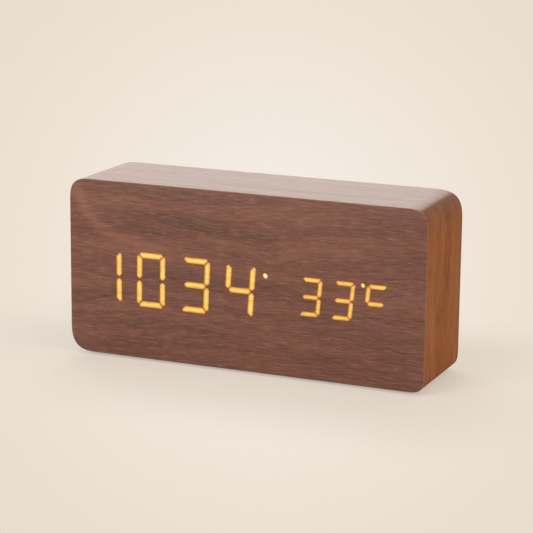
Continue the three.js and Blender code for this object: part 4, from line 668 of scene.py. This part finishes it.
# the back's film is a quieter print, with less between its dark and its light
back_walnut = walnut("walnut-grain film, back", "Object", ("#4E2E24", "#704436", "#875644"),
                     "#947872")
back_middle = case_middle + Vector((0, CASE_DEPTH / 2, 0))
back = start_block("walnut_back", (CASE_WIDTH, FILM, CASE_HEIGHT),
                   back_middle - Vector((0, FILM / 2, 0)))
round_corners(back, {**CORNERS, (1, 1): BACK_CORNER})
select_edges(back, lambda a, b: min(a.y, b.y) > back_middle.y - FILM / 4)
bpy.ops.mesh.bevel(offset=ROLL, segments=3)
leave_edit(back, back_walnut, 30)
show_rim_core_and_highlight(back)
opening = start_block("opening", (OPENING_WIDTH, 8 * FILM, OPENING_HEIGHT), back_middle)
select_edges(opening, lambda a, b: abs(a.y - b.y) > MM)
bpy.ops.mesh.bevel(offset=OPENING_CORNER, segments=8)
bpy.ops.object.mode_set(mode="OBJECT")
bpy.ops.object.select_all(action="DESELECT")
bpy.context.view_layer.objects.active = back
hole = back.modifiers.new("opening", "BOOLEAN")
hole.object = opening
hole.operation = "DIFFERENCE"
hole.solver = "EXACT"
bpy.ops.object.modifier_apply(modifier="opening")
bpy.data.objects.remove(opening)
stand_in(back, "back_veneer")

# Four rubber feet, punched from sheet and stuck under the block. Each is a low disc with a rounded
# rim and a shallow dish that grips the table. Rubber is matt, with a fine dusty grain.
FOOT_RADIUS, FOOT_HEIGHT, FOOT_EDGE = 4 * MM, 1 * MM, 0.25 * MM
DISH_RIM, DISH_SLOPE, DISH_DEPTH = 0.9 * MM, 0.4 * MM, 0.2 * MM
rubber = even_finish("rubber, black, cut from sheet", "#1B1B1B", "#232322", 0.8, 0.3, 0.35)
low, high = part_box("foot_1")
first_place = (low + high) / 2
bpy.ops.object.select_all(action="DESELECT")
bpy.ops.mesh.primitive_cylinder_add(vertices=48, radius=FOOT_RADIUS, depth=FOOT_HEIGHT,
                                    location=first_place)
first_foot = bpy.context.object
first_foot.name = first_foot.data.name = "rubber_foot_1"
bpy.ops.object.transform_apply(location=True, rotation=True, scale=True)
bpy.ops.object.mode_set(mode="EDIT")
select_faces(first_foot, lambda c, n: n.z < -0.9)
bpy.ops.mesh.bevel(offset=FOOT_EDGE, segments=3)
select_faces(first_foot, lambda c, n: n.z < -0.99)
bpy.ops.mesh.inset(thickness=DISH_RIM)
bpy.ops.mesh.inset(thickness=DISH_SLOPE)
bpy.ops.transform.translate(value=(0, 0, DISH_DEPTH))
leave_edit(first_foot, rubber)
stand_in(first_foot, "foot_1")
# the others are its copies, each with its own mesh
for number in (2, 3, 4):
    low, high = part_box(f"foot_{number}")
    foot = bpy.data.objects.new(f"rubber_foot_{number}", first_foot.data.copy())
    foot.data.name = foot.name
    foot.data.transform(Matrix.Translation((low + high) / 2 - first_place))
    bpy.context.collection.objects.link(foot)
    stand_in(foot, f"foot_{number}")

# The housing is one black ABS moulding: a flange over the board, a sunk panel for the keys and the
# battery bay. The mould is spark-eroded, which leaves a fine, even grain and a half-dull skin.
housing_abs = even_finish("ABS, black, spark-textured", "#19191A", "#202022", 0.52, 0.3, 0.35)
copied("back_housing", housing_abs, bevel=0.15 * MM)

# Steel screws with crossed recesses hold the housing to the board, and the main board to its
# bosses. Their zinc plating is bright and a little bluish.
zinc = even_finish("steel, zinc plated", "#B4B7BA", "#C4C6C8", 0.3, 0.15, 0.15, metal=True)
for node in ("housing_screw_1", "housing_screw_2", "housing_screw_3", "housing_screw_4",
             "board_screw_1", "board_screw_2"):
    copied(node, zinc, bevel=0.06 * MM)

# The battery door hinges on two toes at its lower edge and snaps shut with a springy leg at the
# top. It is moulded of the housing's ABS and rubbed a little smoother by thumbs.
door_abs = even_finish("ABS, black, door", "#19191A", "#202022", 0.5, 0.3, 0.35)
copied("battery_door", door_abs, body="battery_lid", bevel=0.12 * MM)

# Three cells lie in the bay, every second one turned round. Each is a bright steel can in a shrunk
# sleeve, dark and glossy, with a copper-toned end at its plus. Their contacts are bent from spring
# steel, and the nickel on it has a warm, bright shine.
CAN = "#C9C6BE"
# shares of a cell's length where the sleeve starts, turns copper and ends, each over a soft edge
SLEEVE_START, COPPER_START, SLEEVE_END = (0.022, 0.024), (0.70, 0.705), (0.955, 0.957)
PLUS_AT_RIGHT = {1: True, 2: False, 3: True}
nickel = even_finish("steel, nickel plated", CAN, "#D4D1CA", 0.24, 0.12, 0.1, metal=True)
for number, plus_right in PLUS_AT_RIGHT.items():
    low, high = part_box(f"battery_cell_{number}")
    minus, plus = (low.x, high.x) if plus_right else (high.x, low.x)
    jacket, tree, shader = start_material(f"printed sleeve over steel, cell {number}")
    apart = add(tree, "SeparateXYZ", {0: add(tree, "TexCoord").outputs["Object"]})
    way = add(tree, "MapRange", {"Value": apart.outputs["X"], "From Min": minus, "From Max": plus})
    tones = ((CAN, "#2A3038"), ("#2E343C", "#B9783F"), ("#B5743C", CAN))
    stops = [stop for places, pair in zip((SLEEVE_START, COPPER_START, SLEEVE_END), tones)
             for stop in zip(places, pair)]
    printed = add(tree, "ValToRGB", {0: way}, stops)
    steel = add(tree, "ValToRGB", {0: way}, [
        *zip(SLEEVE_START, (0.95, 0.15)), *zip(SLEEVE_END, (0.35, 0.95))])
    connect(tree, shader, {"Base Color": printed, "Metallic": steel, "Roughness": 0.3})
    copied(f"battery_cell_{number}", jacket, bevel=0.08 * MM)
dress(nickel, "contact_negative", "contact_positive", "contact_bridge_lower",
      "contact_bridge_upper")

# The three keys are moulded caps that press tact switches through round nylon plungers. Their faces
# are slightly domed and carry a raised mark: a dot to set, arrows for up and down. The caps are
# satin, from a finer mould than the housing's, and the plungers waxy and ivory, as bare nylon is.
CAP_RADIUS, CAP_FLANGE, CAP_STEP, CAP_EDGE = 4.3 * MM, 0.8 * MM, 1 * MM, 0.35 * MM
# the cap's face lies a little lower than the solid's, and its dome and its mark stand up from it
FACE_SUNK, DOME_SLOPE, DOME_RISE = 0.2 * MM, 1.2 * MM, 0.05 * MM
DOT_MARK, ARROW_MARK = 0.7 * MM, 1.35 * MM
MARK_HEIGHT, MARK_SUNK, MARK_EDGE = 0.3 * MM, 0.1 * MM, 0.08 * MM
key_abs = even_finish("ABS, grey-black, key caps", "#29292C", "#303034", 0.42, 0.2, 0.2)
nylon = even_finish("nylon, ivory, moulded", "#DDD6C2", "#E6E0CE", 0.5, 0.2, 0.15)
for key, sides, mark_radius, turn in (("set", 32, DOT_MARK, 0), ("up", 3, ARROW_MARK, 0),
                                      ("down", 3, ARROW_MARK, math.pi)):
    low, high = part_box(key + "_button")
    middle = (low + high) / 2
    bpy.ops.object.select_all(action="DESELECT")
    bpy.ops.mesh.primitive_cylinder_add(
        vertices=64, radius=CAP_RADIUS, depth=CAP_FLANGE, rotation=(math.pi / 2, 0, 0),
        location=(middle.x, low.y + CAP_FLANGE / 2, middle.z))
    cap = bpy.context.object
    cap.name = cap.data.name = key + "_key_cap"
    bpy.ops.object.transform_apply(location=True, rotation=True, scale=True)
    bpy.ops.object.mode_set(mode="EDIT")
    select_faces(cap, lambda c, n: n.y > 0.9)
    bpy.ops.mesh.inset(thickness=CAP_STEP)
    rise = high.y - FACE_SUNK - (low.y + CAP_FLANGE)
    bpy.ops.mesh.extrude_region_move(TRANSFORM_OT_translate={"value": (0, rise, 0)})
    bpy.ops.mesh.bevel(offset=CAP_EDGE, segments=4)
    select_faces(cap, lambda c, n: n.y > 0.999)
    bpy.ops.mesh.inset(thickness=DOME_SLOPE)
    bpy.ops.transform.translate(value=(0, DOME_RISE, 0))
    bpy.ops.mesh.select_all(action="DESELECT")
    bpy.ops.mesh.primitive_cylinder_add(
        vertices=sides, radius=mark_radius, depth=MARK_HEIGHT, rotation=(math.pi / 2, turn, 0),
        location=(middle.x, high.y - MARK_SUNK, middle.z))
    select_faces(cap, lambda c, n: n.y > 0.999 and c.y > high.y)
    bpy.ops.mesh.bevel(offset=MARK_EDGE, segments=2)
    leave_edit(cap, key_abs)
    stand_in(cap, key + "_button", key + "_key")
    dress(nylon, key + "_plunger")

# The sound switch is a slide switch on the board, worked by a square lever in a slot of the panel.
# Its case is stamped from tinned steel, which is greyer and softer in its shine than zinc.
copied("sound_switch_lever", key_abs, body="sound_lever", bevel=0.12 * MM)
stamped = even_finish("steel, stamped and tinned", "#AFB1B3", "#BDBFC1", 0.34, 0.2, 0.12,
                      metal=True)
dress(stamped, "sound_switch_body")

# The power inlet is a small socket folded from tinned sheet, with a black tongue inside, moulded
# of a hard resin with a smooth, dull face.
socket = copied("usb_socket", stamped, bevel=0.06 * MM)
tongue = even_finish("LCP, black, moulded", "#121213", "#18181A", 0.5, 0.2, 0.15)
socket.data.materials.append(tongue)
# the faces that lie further in than this, from the socket's sides, floor and roof, are the tongue's
SOCKET_SIDE, SOCKET_FLOOR, SOCKET_ROOF = 1 * MM, 0.6 * MM, 0.5 * MM
low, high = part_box("usb_socket")
for face in socket.data.polygons:
    inside_x = low.x + SOCKET_SIDE < face.center.x < high.x - SOCKET_SIDE
    inside_z = low.z + SOCKET_FLOOR < face.center.z < high.z - SOCKET_ROOF
    face.material_index = int(inside_x and inside_z and face.center.y > low.y + SOCKET_SIDE)

# The parts on the main board: moulded chip, crystal can, capacitor, memory cell in its holder,
# buzzer, microphone, key switches and the glass-bead sensor that stands behind its vent. Epoxy is
# dull and nearly black, and the tin on the chip's copper legs has a soft, pale shine.
epoxy = even_finish("epoxy, black, transfer moulded", "#151516", "#1C1C1E", 0.5, 0.15, 0.2)
tin = even_finish("copper, tin plated", "#B8B8B4", "#C6C6C2", 0.35, 0.2, 0.1, metal=True)
# the drawn steel of the crystal's can is bright, and the capacitor's shrunk sleeve is glossy
can = even_finish("steel, crystal can", "#B9BABC", "#C6C7C9", 0.28, 0.2, 0.1, metal=True)
sleeve = even_finish("PVC sleeve, dark blue", "#1F2A44", "#26324E", 0.35, 0.2, 0.1)
chip = copied("clock_chip", epoxy)
chip.data.materials.append(tin)
# the chip's body lies between these heights, and its two rows of legs below and above
CHIP_LOW, CHIP_HIGH = 36.6 * MM, 44.1 * MM
for face in chip.data.polygons:
    face.material_index = int(not CHIP_LOW < face.center.z < CHIP_HIGH)
dress(can, "crystal")
dress(sleeve, "capacitor")
dress(nickel, "coin_cell")
copied("coin_holder", mask_abs, bevel=0.12 * MM)
dress(epoxy, "buzzer", "temperature_sensor", "set_key_switch", "up_key_switch", "down_key_switch")
dress(stamped, "microphone")

# Two insulated leads run from the bay to the board, and a flat grey cable of ten conductors joins
# the two boards. Extruded PVC is smooth and half glossy, and the cable is ribbed by its conductors.
CONDUCTOR_PITCH = 1.27 * MM
# a wave texture of scale 1 repeats over this length
WAVE_LENGTH = 0.314
red_pvc = even_finish("PVC, red, extruded", "#A3231C", "#AD2A22", 0.42, 0.3, 0.1)
black_pvc = even_finish("PVC, black, extruded", "#17171A", "#1E1E21", 0.42, 0.3, 0.1)
dress(red_pvc, "lead_red")
dress(black_pvc, "lead_black")
ribbon, tree, shader = start_material("PVC, grey, ribbed flat cable")
place = add(tree, "TexCoord").outputs["Object"]
ribs = add(tree, "TexWave", {"Vector": place, "Scale": WAVE_LENGTH / CONDUCTOR_PITCH},
           bands_direction="X").outputs["Fac"]
# painted shade: the tone is darker in the grooves between the conductors and paler on the ridges
tones = add(tree, "ValToRGB", {0: ribs}, [(0.1, "#75787C"), (0.5, "#A2A5A9")])
ridge = add(tree, "Bump", {"Height": ribs, "Distance": 0.2 * MM})
connect(tree, shader, {"Base Color": tones, "Roughness": 0.5, "Normal": ridge})
dress(ribbon, "ribbon_cable")
